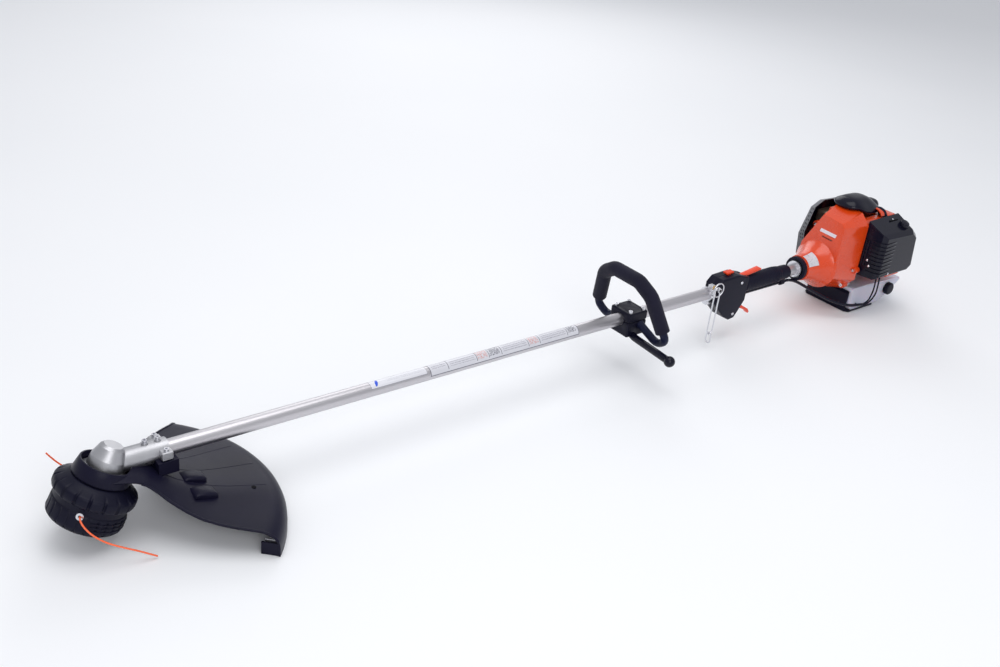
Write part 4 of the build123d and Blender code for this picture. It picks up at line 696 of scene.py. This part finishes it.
# ---- shield and line knife -----------------------------------------------------------------
# One thick polypropylene moulding: a collar round the gear case flange, a falling crown with
# two hooded slots, a beaded rim and an upright skirt. A steel blade in the skirt trims the line.
shield_black = moulded("shield_black", (0.0045, 0.0042, 0.014, 1), (0.010, 0.009, 0.027, 1), 0.36, 0.3,
                       grain_scale=1100.0)
SKIRT_FOOT = -117.9
CROWN = [(36.5, -4.2), (48, -8.6), (60, -14), (72, -21.2), (86, -31), (100, -40), (125, -51.6),
         (150, -60), (175, -65.6), (200, -70), (220, -73.2), (235, -76), (246, -79.2),
         (253.5, -83.8), (258.6, -90), (261.4, -97), (262, -104), (262, SKIRT_FOOT)]
EDGE = [(36.5, 100), (42, 99), (45.6, 76), (55, 59), (66.8, 51.6), (85, 49.6), (105, 49.6),
        (130, 49.8), (154.7, 49.2), (185, 47.6), (210, 46), (235, 44.5), (300, 44.5)]
ON_SHIELD = Matrix.Translation((GEAR_MM, 0, SHAFT_MM))
SHIELD_WALL = 2.8


def between(table, x):
    """The value of a table of pairs at x, by straight lines."""
    for (x0, y0), (x1, y1) in zip(table, table[1:]):
        if x <= x1:
            return y0 + (y1 - y0) * (x - x0) / (x1 - x0)
    return table[-1][1]


def crown_point(radius, share, drop=0.0, height=None):
    """A point on the crown at a radius and a share from -1 to 1 of its half angle there."""
    angle = math.radians(between(EDGE, radius)) * share
    z = between(CROWN, radius) if height is None else height
    return (radius * math.cos(angle), radius * math.sin(angle), z - drop)


across = 56
upper, lower = [], []
crown_rings = [CROWN[0]]
for (r0, z0), (r1, z1) in zip(CROWN, CROWN[1:]):
    parts = max(1, round(math.hypot(r1 - r0, z1 - z0) / 8))
    crown_rings += [(r0 + (r1 - r0) * k / parts, z0 + (z1 - z0) * k / parts)
                    for k in range(1, parts + 1)]
for index, (radius, height) in enumerate(crown_rings):
    before = crown_rings[max(index - 1, 0)]
    after = crown_rings[min(index + 1, len(crown_rings) - 1)]
    slope = math.atan2(after[1] - before[1], after[0] - before[0])
    inner = radius + SHIELD_WALL * math.sin(slope), height - SHIELD_WALL * math.cos(slope)
    upper.append([crown_point(radius, 2 * j / across - 1, 0, height) for j in range(across + 1)])
    scale = inner[0] / radius
    lower.append([(x * scale, y * scale, max(inner[1], SKIRT_FOOT)) for x, y, _ in upper[-1]])
sheet = Shape().add([p for ring in upper + lower for p in ring],
                    sheet_faces(len(upper), across + 1), ON_SHIELD)


def bead(shape, line, radius, steps=10):
    """A round bead laid along a line of points on the shield."""
    rings = []
    for i, point in enumerate(line):
        point = Vector(point)
        ahead = (Vector(line[min(i + 1, len(line) - 1)]) - Vector(line[max(i - 1, 0)])).normalized()
        side = ahead.cross(Vector((0, 0, 1)))
        side = side.normalized() if side.length > 1e-3 else Vector((0, 1, 0))
        up = side.cross(ahead)
        turns = [math.tau * k / steps for k in range(steps)]
        rings.append([point + (side * math.cos(a) + up * math.sin(a)) * radius for a in turns])
    return shape.skin(rings, ON_SHIELD)


for share in (-1.0, 1.0):
    rim = [crown_point(r, share, 0.8, z) for r, z in crown_rings[4:] if r < 261]
    bead(sheet, rim, 2.3)
for share in (-0.34, 0.0, 0.34):
    rib = [crown_point(r, share, 1.6, z) for r, z in crown_rings if 68 < r < 240]
    bead(sheet, rib, 2.0)
collar_profile = [(35.6, -16), (42.6, -18.5), (43.2, -16), (40.6, -4), (39.0, 3.2), (38.2, 4.4),
                  (36.2, 4.4), (35.6, 3.4)]
sheet.lathe(collar_profile, ON_HEAD, steps=96, wrap=True)
sheet.slab((84, 0, -15.5), (32, 60, 22), ON_SHIELD)
HOOD_X = 124
HOODS = [(y, between(CROWN, math.hypot(HOOD_X, y))) for y in (-62, -22)]
for hood_y, hood_z in HOODS:
    side = [(-20, -3), (-17, 1.5), (-9, 6), (4, 8.6), (15, 9.2), (16.5, 8), (16.5, -3)]
    rings = []
    for across_y, lift in ((-13, 0.55), (-12, 0.82), (-9, 1.0), (9, 1.0), (12, 0.82), (13, 0.55)):
        rings.append([(HOOD_X + x, hood_y + across_y, hood_z + (z * lift if z > 0 else z) - x * 0.42)
                      for x, z in side])
    sheet.skin(rings, ON_SHIELD)
END_ANGLE, END_WALL = math.radians(44.3), math.radians(0.7)
for share in (-1.0, 1.0):
    start, top = (232, -96) if share < 0 else (250, -100)
    wall = [(start, top), (259, top), (259, SKIRT_FOOT), (start, SKIRT_FOOT)]
    sheet.skin([[(r * math.cos(a), r * math.sin(a), z) for r, z in wall]
                for a in (END_ANGLE * share, (END_ANGLE - END_WALL) * share)], ON_SHIELD)
sheet.show("shield_moulding", shield_black, "frame", "black_plastic", ("shield",), bevel=0.7, limit=42)

# Painted shade: a near-black fill laid in the mouths of the two hooded slots, over a hole in the crown
# and in the slot on the air cleaner box, where the real surface only lies in shade.
shade_fill = moulded("painted_recess_shade", (0.001, 0.001, 0.003, 1), (0.002, 0.002, 0.005, 1), 0.7, 0.3)
# Near-black slabs and a disc of painted shade stand in for the dark insides of the slots and the hole.
shade_patches = Shape()
for hood_y, hood_z in HOODS:
    shade_patches.slab((HOOD_X + 17.2, hood_y, hood_z - 4.0), (1.2, 19, 6.2), ON_SHIELD)
hole = crown_point(214, -0.38)
shade_patches.lathe([(4, hole[2] - 1.0), (4, hole[2] + 0.5), (3.4, hole[2] + 0.6)],
               ON_SHIELD @ Matrix.Translation((hole[0], hole[1], 0)), steps=20)
shade_patches.show("shield_openings", shade_fill, "frame", "black_plastic")
paint(machined, "line_knife")

# ---- loop handle ---------------------------------------------------------------------------
# A bent nylon bar with a thick closed-cell foam sleeve, held by two nylon clamp halves and four
# socket screws. A barrier bar with a moulded ball leaves the lower half on the left.
foam = Finish("closed_cell_foam", Specular_IOR_Level=0.12, Sheen_Weight=0.05, Sheen_Roughness=0.6)
cell = foam.cells(900.0)
foam_cloud = foam.noise(30.0, 3.0)
foam.feed(Base_Color=foam.blend(foam_cloud, (0.0045, 0.0042, 0.013, 1), (0.012, 0.011, 0.028, 1)),
          Roughness=foam_cloud * 0.1 + 0.62, Normal=foam.relief(cell, 0.5, 0.0006))
blue_black = moulded("blue_black_nylon", (0.007, 0.009, 0.030, 1), (0.014, 0.017, 0.048, 1), 0.34, 0.2)
paint(foam.material, "handle_grip")
paint(blue_black, "handle_bar")
softened("handle_clamp_top", "handle_clamp", "frame", "black_plastic", black, 1.2)
softened("handle_clamp_foot", "handle_clamp_base", "frame", "black_plastic", black, 1.2)
gloss_black = moulded("gloss_black_plastic", (0.003, 0.003, 0.010, 1), (0.007, 0.007, 0.020, 1), 0.22,
                      0.05, coat=0.22)
paint(gloss_black, "barrier_bar")

# ---- harness hanger ------------------------------------------------------------------------
# A zinc-plated steel band round the pipe with a pin and a hook ring, and a long bent wire link
# that carries a small eye. The pin is kept by a brass-coloured passivated nut.
paint(zinc, "hanger_clamp", "hanger_link", "hanger_eye")
brass = metal("yellow_passivated", (0.72, 0.50, 0.20, 1), (0.60, 0.34, 0.12, 1), 0.30, 0.15)
link_low, link_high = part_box("hanger_link")
PIN_X = (link_low.x + link_high.x) / 2 / MM
PIN_H = 21.0
nut = Shape()
for y0, y1, reach in ((-18.6, -15.4, 5.2), (-34.0, -31.2, 4.6)):
    hexagon = [(PIN_X + reach * math.cos(math.tau * i / 6), PIN_H + reach * math.sin(math.tau * i / 6))
               for i in range(6)]
    nut.skin([[(x, y, z) for x, z in hexagon] for y in (y0, y1)])
nut.show("hanger_nuts", brass, "frame", "zinc_steel", bevel=0.4)

# ---- throttle housing, levers and rear grip ------------------------------------------------
# Two nylon half shells screwed together round the pipe, with a trigger, a lockout lever and a
# slide switch in orange acetal. The rubber grip behind has fine ribs and a clip for the cable.
THROTTLE_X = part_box("throttle_housing_left")[0].x / MM
for side in ("left", "right"):
    softened(f"throttle_shell_{side}", f"throttle_housing_{side}", "frame", "black_plastic", black,
             0.8, limit=30)
red = moulded("orange_red_acetal", (0.80, 0.055, 0.008, 1), (0.70, 0.04, 0.006, 1), 0.33, 0.08)
for node, body, name in (("throttle_trigger", "trigger", "trigger_blade"),
                         ("lockout_lever", "lockout", "lockout_blade"),
                         ("stop_switch", "switch", "stop_slider")):
    softened(name, node, body, "red_plastic", red, 0.9, limit=25)

shell_screws = [(facing((THROTTLE_X + x, -18.8, z), (0, -1, 0)), UNIT)
                for x, z in ((74, 16), (64, -56))]
repeated("shell_screws", cap_screw(3.4, 1.6, 1.5, 1.2), shell_screws, "frame", "zinc_steel", zinc)

rubber = moulded("black_rubber", (0.0045, 0.0045, 0.014, 1), (0.010, 0.010, 0.026, 1), 0.5, 0.4,
                 grain_scale=900.0)
grip_low, grip_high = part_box("rear_grip")
GRIP_FRONT, GRIP_BACK = grip_low.x / MM, grip_high.x / MM
step_x = GRIP_BACK - 34
grip_profile = [(12.75, GRIP_FRONT + 0.6), (17.4, GRIP_FRONT + 0.4), (18.5, GRIP_FRONT + 1.8),
                (18.5, GRIP_FRONT + 60), (18.0, step_x - 4), (17.8, step_x), (16.4, step_x + 1.6),
                (16.2, GRIP_BACK - 12), (15.6, GRIP_BACK - 3), (14.6, GRIP_BACK - 0.6),
                (12.75, GRIP_BACK - 0.4)]
sleeve = Shape().lathe(grip_profile, ROUND_SHAFT, steps=72, wrap=True)
sleeve.slab((GRIP_BACK - 10, 0, -20.5), (13, 10.5, 8))
sleeve.lathe([(3.7, -6.5), (6.4, -6.5), (6.4, 6.5), (3.7, 6.5)],
             axes((GRIP_BACK - 10, 0, SHAFT_MM - 24.5), (0, 1, 0), (0, 0, 1), (1, 0, 0)),
             steps=28, wrap=True)
sleeve.show("grip_sleeve", rubber, "frame", "rubber", ("rear_grip",), bevel=0.8, limit=34)
band = Shape().lathe([(18.3, -0.7), (18.75, -0.35), (18.75, 0.35), (18.3, 0.7), (17.6, 0.7),
                      (17.6, -0.7)], ON_FLOOR, steps=48, wrap=True)
bands = [(ROUND_SHAFT @ Matrix.Translation((0, 0, GRIP_FRONT + 12 + i * 5.0)), UNIT) for i in range(20)]
repeated("grip_bands", band, bands, "frame", "rubber", rubber)

# ---- clutch cover, clutch and flywheel -----------------------------------------------------
# The cover is a glass-filled nylon moulding in gloss orange: a cone that takes the pipe and a
# faceted hood, with four screw lugs. The drum, shoes and flywheel turn inside it.
orange_gloss = moulded("gloss_orange_cover", (0.74, 0.060, 0.004, 1), (0.60, 0.040, 0.003, 1), 0.27,
                       0.04, coat=0.45)
softened("cover_moulding", "clutch_cover", "frame", "orange_plastic", orange_gloss, 2.2, limit=16)
paint(zinc, "damper_collar")
paint(machined, "clutch_drum", "clutch_shoes")
paint(cast, "flywheel")
collar_band = Shape().lathe([(20.8, -201), (26.6, -201), (27.4, -200), (27.4, -193), (26.6, -191.6),
                             (20.8, -191.6)], ROUND_SHAFT, steps=64, wrap=True)
collar_band.show("collar_band", black, "frame", "rubber", bevel=0.3)

plate_finish = Finish("printed_plate", Metallic=0.3, Coat_Weight=0.3)
plate_tone = plate_finish.blend(plate_finish.noise(60.0, 3.0), (0.62, 0.62, 0.66, 1),
                                (0.74, 0.74, 0.78, 1))
plate_lines = plate_finish.noise(260.0, 2.0, 0.7, at=plate_finish.stretched((1, 0.4, 2.0)))
plate_finish.feed(Base_Color=plate_finish.blend((plate_lines > 0.56) * 0.35, plate_tone,
                                                (0.25, 0.25, 0.3, 1)),
                  Roughness=plate_lines * 0.1 + 0.28)
plate_rings = []
cone_line = [(-187.6, 29.2), (-174, 31.1), (-161, 35.6)]
section = [(x, r + 0.5) for x, r in cone_line] + [(x, r - 0.3) for x, r in reversed(cone_line)]
for i in range(15):
    angle = math.radians(98 + i * 4.2)
    plate_rings.append([(x, r * math.cos(angle), r * math.sin(angle)) for x, r in section])
cone_plate = Shape().skin(plate_rings)
cone_plate.show("cone_plate", plate_finish.material, "frame", "aluminium_pipe", limit=40)

badge_finish = moulded("pale_badge", (0.74, 0.70, 0.76, 1), (0.82, 0.79, 0.84, 1), 0.3, 0.04)
dark_badge = moulded("dark_badge", (0.02, 0.014, 0.016, 1), (0.05, 0.03, 0.03, 1), 0.36, 0.04)
for name, centre, size, finish in (("badge_bar", (-15.5, 80.5), (46, 9.5), badge_finish),
                                   ("badge_line", (-15.5, 67.5), (31, 3.4), dark_badge)):
    cy, ch = centre
    a, b = size[0] / 2, size[1] / 2
    outline = [(cy - a + 2.5, ch - b), (cy + a, ch - b + 1.5), (cy + a - 2.5, ch + b),
               (cy - a, ch + b - 1.5)]
    bar = Shape().skin([[(x, y, h) for y, h in outline] for x in (-129.6, -130.7)])
    bar.show(name, finish, "frame", "black_plastic", bevel=0.35)

# ---- crankcase, cylinder and piston --------------------------------------------------------
# Die-cast aluminium crankcase and finned cylinder with a forged crankshaft, connecting rod and
# cast piston inside. The spark plug has a zinc-plated shell.
rough_cast = metal("sand_grey_casting", (0.46, 0.46, 0.47, 1), (0.30, 0.30, 0.31, 1), 0.5, 0.7,
                   grain_scale=380.0)
paint(rough_cast, "crankcase", "cylinder")
paint(cast, "piston")
paint(machined, "crankshaft", "connecting_rod")
paint(zinc, "spark_plug")

# ---- engine cap, plug boot and cylinder shroud ---------------------------------------------
# A gloss black nylon cap with a domed top and a tongue that lies over the orange hood. Behind it
# a rubber boot on the plug stands in a notch of the orange shroud that guides cooling air.
CAP_STEPS = 40
CAP_TOP = 153
HOOD_BACK = (-62, 131.5)


def cap_ring(centre_x, centre_y, half_x, half_y, height_at, power=2.6):
    """A rounded-rectangle ring whose height follows its place along the engine."""
    ring = []
    for i in range(CAP_STEPS):
        angle = math.tau * i / CAP_STEPS
        c, s = math.cos(angle), math.sin(angle)
        x = centre_x + half_x * math.copysign(abs(c) ** (2 / power), c)
        y = centre_y + half_y * math.copysign(abs(s) ** (2 / power), s)
        ring.append((x, y, height_at(x)))
    return ring


def cap_foot(x):
    """Height of the cap's lower edge: on the hood in front, down behind it at the back."""
    back_x, back_h = HOOD_BACK
    if x < back_x:
        return back_h + 0.2 * (x - back_x)
    return max(112.0, back_h - (x - back_x) * 0.55)


cap_shape = Shape()
rings = []
for share, size, rise in ((0.0, 1.0, 0.0), (0.0, 1.0, 0.22), (0.25, 0.93, 0.42), (0.5, 0.8, 0.6),
                          (0.75, 0.62, 0.8), (0.92, 0.46, 0.94), (1.0, 0.24, 1.0)):
    rings.append(cap_ring(-22 - 14 * share, -2 * share, 60 * size, 42 * size,
                          lambda x, rise=rise: cap_foot(x) * (1 - rise) + CAP_TOP * rise))
cap_shape.skin(rings)
hump = [cap_ring(16, -8, a, b, lambda x, z=z: z) for z, a, b in
        ((114, 24, 20), (126, 23, 19), (134, 19, 16), (138, 13, 11), (139.5, 6, 5))]
cap_shape.skin(hump)
cap_shape.show("engine_cap", gloss_black, "frame", "gloss_black_plastic", ("cylinder_cover",), levels=1)
softened("shroud_moulding", "cylinder_shroud", "frame", "orange_plastic", orange_gloss, 1.2, limit=30)
boot = Shape()
boot_rings = []
for k in range(9):
    t = k / 8
    centre = Vector((22 - 10 * t * t, -50 + 12 * t * t, 96 + 34 * t))
    size = 11.5 - 1.2 * t if k < 8 else 5.0
    boot_rings.append([(centre.x + size * math.cos(math.tau * i / 24),
                        centre.y + size * math.sin(math.tau * i / 24), centre.z) for i in range(24)])
boot.skin(boot_rings)
boot.show("boot_rubber", rubber, "frame", "rubber", ("plug_boot",), levels=1)
arch = Shape()
arch_rings = []
for k in range(13):
    angle = math.radians(20 + k * 11.6)
    ring = []
    for r, x in ((17.5, -6), (20.5, -6), (20.5, 6), (17.5, 6)):
        ring.append((6 + x, -38 - r * math.cos(angle), 108 + r * math.sin(angle)))
    arch_rings.append(ring)
arch.skin(arch_rings)
arch.show("shroud_arch", orange_gloss, "frame", "orange_plastic", bevel=0.8)

# ---- muffler and guard ---------------------------------------------------------------------
# A pressed steel box, blued and browned by heat, behind a black nylon guard. The guard's sloping
# front strip is pierced by two rows of round vents.
heat = Finish("heat_stained_steel", Metallic=0.9)
stain = heat.noise(16.0, 4.0, 0.6)
scale = heat.noise(320.0, 3.0)
heat.feed(Base_Color=heat.blend((stain * 1.6 - 0.3).clamped(), (0.16, 0.13, 0.12, 1),
                                (0.30, 0.22, 0.16, 1)),
          Roughness=scale * 0.2 + 0.42, Normal=heat.relief(scale, 0.3, 0.0003))
paint(heat.material, "muffler")
guard_black = moulded("guard_black", (0.0042, 0.0042, 0.013, 1), (0.009, 0.009, 0.026, 1), 0.3, 0.18,
                      coat=0.12)
paint(guard_black, "muffler_guard")

# ---- carburettor, filter and air cleaner cover ---------------------------------------------
# The cover is a deep gloss black nylon box with rounded corners. Ribs wrap its front corner, a
# knurled knob and a small screw in a slot sit on top, and two screws hold its front wall.
paint(cast, "carburettor")
felt = moulded("filter_felt", (0.30, 0.26, 0.18, 1), (0.38, 0.33, 0.22, 1), 0.9, 1.0,
               grain_scale=900.0)
paint(felt, "air_filter")
BOX_FACE = [(-44, -6), (-44, 89), (54, 85), (71, 72), (80, 3), (67, -6)]
BOX_SHOULDER = [(-53, -13), (-53, 97), (60, 93), (78, 78), (88, -2), (73, -13)]
BOX_RIM = [(-56, -15), (-56, 116), (54, 118), (78, 92), (90, -4), (76, -15)]


def inset(outline, amount):
    """An outline pulled towards its middle by an amount."""
    mid_x = sum(x for x, _ in outline) / len(outline)
    mid_z = sum(z for _, z in outline) / len(outline)
    return [(x - math.copysign(amount, x - mid_x), z - math.copysign(amount, z - mid_z))
            for x, z in outline]


box_skins = []
for skin in (((BOX_RIM, 0, -64.0), (BOX_SHOULDER, 0, -107.0), (BOX_FACE, 0, -116.0)),
             ((BOX_RIM, 2.6, -64.0), (BOX_SHOULDER, 2.6, -106.0), (BOX_FACE, 1.6, -113.4))):
    box_skins.append([[(x, y, z) for x, z in inset(outline, amount)] for outline, amount, y in skin])
box = Shape().cup(*box_skins)
box.show("air_cleaner_box", gloss_black, "frame", "gloss_black_plastic", ("air_cleaner_cover",),
         bevel=4.0, limit=14, segments=4)

corner = []
for reach in (0.0, 1.8):
    line = [(-6 - reach * 2, -115.4 - reach)]
    for k in range(7):
        angle = math.radians(270 - 15 * k)
        line.append((-42 + (12.5 + reach) * math.cos(angle), -103.5 + (12.5 + reach) * math.sin(angle)))
    line.append((-54.6 - reach, -84))
    corner.append(line)
louvre = Shape().prism(corner[1] + list(reversed(corner[0])), 0.0, 2.6, ON_FLOOR)
louvre_places = [(ON_SHAFT @ Matrix.Translation((0, 0, 1 + 9.2 * i)), UNIT) for i in range(9)]
repeated("box_louvres", louvre, louvre_places, "frame", "gloss_black_plastic", gloss_black, bevel=0.5)
front_rib = Shape().prism([(-57.8, -2.2), (-55.4, -2.2), (-55.4, 2.2), (-57.8, 2.2)], 0, 62, ON_FLOOR)
rib_places = [(ON_SHAFT @ Matrix.Translation((0, y, 12)), UNIT) for y in (-70, -77)]
repeated("box_front_ribs", front_rib, rib_places, "frame", "gloss_black_plastic", gloss_black,
         bevel=0.6)



def knurled(depth, ribs, low, high, share):
    """A radius that falls by a depth between the ribs of a rim from one height to another."""
    def radius_at(radius, height, angle):
        return radius - depth if math.sin(angle * ribs) > share and low <= height <= high else radius
    return radius_at


top_knob = Shape().lathe([(11.5, 0), (12, 1), (11.4, 9), (10, 11), (4, 12)],
                         facing((40, -92, 98.5), (0, -0.42, 0.9)), steps=60,
                         radius_at=knurled(0.7, 12, 1, 9, 0.2))
top_knob.show("box_knob", gloss_black, "frame", "gloss_black_plastic", bevel=0.4)
# The slot on top is a near-black slab: painted shade standing in for the recess round the small screw.
slot_shade_patch = Shape().slab((20, -72.5, 109.8), (30, 13, 2.6))
slot_shade_patch.show("box_slot", shade_fill, "frame", "black_plastic", bevel=0.5)
box_screws = [(facing(point, normal), UNIT) for point, normal in
              (((22, -73, 110.6), (0, -0.3, 1)), ((-56.4, -84, 28), (-1, 0, 0)),
               ((-56.0, -91, 16), (-1, 0, 0)), ((-10, -115.6, -2), (0, -1, 0)))]
repeated("box_screws", cap_screw(2.7, 1.8, 1.2, 1.0), box_screws, "frame", "zinc_steel", zinc)

# ---- recoil starter ------------------------------------------------------------------------
# An orange nylon housing over a rope reel, with cooling slats round its back wall. The rubber
# handle hangs on a braided rope.
softened("starter_moulding", "starter_housing", "frame", "orange_plastic", orange_gloss, 1.2, limit=34)
paint(black, "starter_reel")
paint(rubber, "starter_handle")
slat = Shape().slab((36, 0, 0), (22, 3.2, 2.4), ON_FLOOR)
SLATS = 18
starter_back = ROUND_SHAFT @ Matrix.Translation((0, 0, 124.2))
slats = [(starter_back @ Matrix.Rotation(math.tau * i / SLATS, 4, "Z"), UNIT) for i in range(SLATS)]
repeated("starter_slats", slat, slats, "frame", "orange_plastic", orange_gloss, bevel=0.6)

# ---- fuel tank, stand and cap --------------------------------------------------------------
# The tank is blow-moulded natural polythene, cloudy white. A black nylon tray under it is the
# stand; the ribbed cap screws onto the tank's near side.
natural = Finish("natural_polythene", Subsurface_Weight=0.25, Subsurface_Scale=0.01,
                 Specular_IOR_Level=0.35)
wall_cloud = natural.noise(14.0, 4.0)
peel = natural.noise(500.0, 2.0)
natural.feed(Base_Color=natural.blend(wall_cloud, (0.50, 0.49, 0.60, 1), (0.66, 0.65, 0.74, 1)),
             Roughness=wall_cloud * 0.1 + 0.36, Normal=natural.relief(peel, 0.15, 0.0003))
softened("tank_body", "fuel_tank", "frame", "tank_plastic", natural.material, 6.0, limit=12)
softened("stand_tray", "tank_stand", "frame", "black_plastic", black, 1.4, limit=30)
cap_low, cap_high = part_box("fuel_cap")
cap_middle = (cap_low + cap_high) / 2 / MM
cap_radius = (cap_high.x - cap_low.x) / 2 / MM
cap_depth = (cap_high.y - cap_low.y) / MM
ribbed = Shape().lathe([(cap_radius - 1.5, 0), (cap_radius, 1), (cap_radius, cap_depth - 2.5),
                        (cap_radius - 2.2, cap_depth - 0.3), (cap_radius - 5, cap_depth),
                        (3, cap_depth)],
                       axes((cap_middle.x, cap_high.y / MM, cap_middle.z), (1, 0, 0), (0, 0, 1),
                            (0, -1, 0)),
                       steps=96, radius_at=knurled(0.8, 16, 1, cap_depth - 2, 0.1))
ribbed.show("tank_cap", black, "cap", "black_plastic", ("fuel_cap",), limit=34)

# ---- cable and fuel lines ------------------------------------------------------------------
# A throttle cable in a smooth plastic conduit runs from the rear grip to the carburettor. Two
# black rubber lines join the tank and the carburettor.
sheath = moulded("cable_sheath", (0.004, 0.004, 0.012, 1), (0.010, 0.010, 0.024, 1), 0.26, 0.1,
                 coat=0.2)
paint(sheath, "throttle_cable")
paint(rubber, "fuel_lines")

# ---- socket screws -------------------------------------------------------------------------
# Zinc-plated socket cap screws of one size family hold the gear case, the handle clamp and the
# clutch cover.
paint(zinc, "socket_screws")
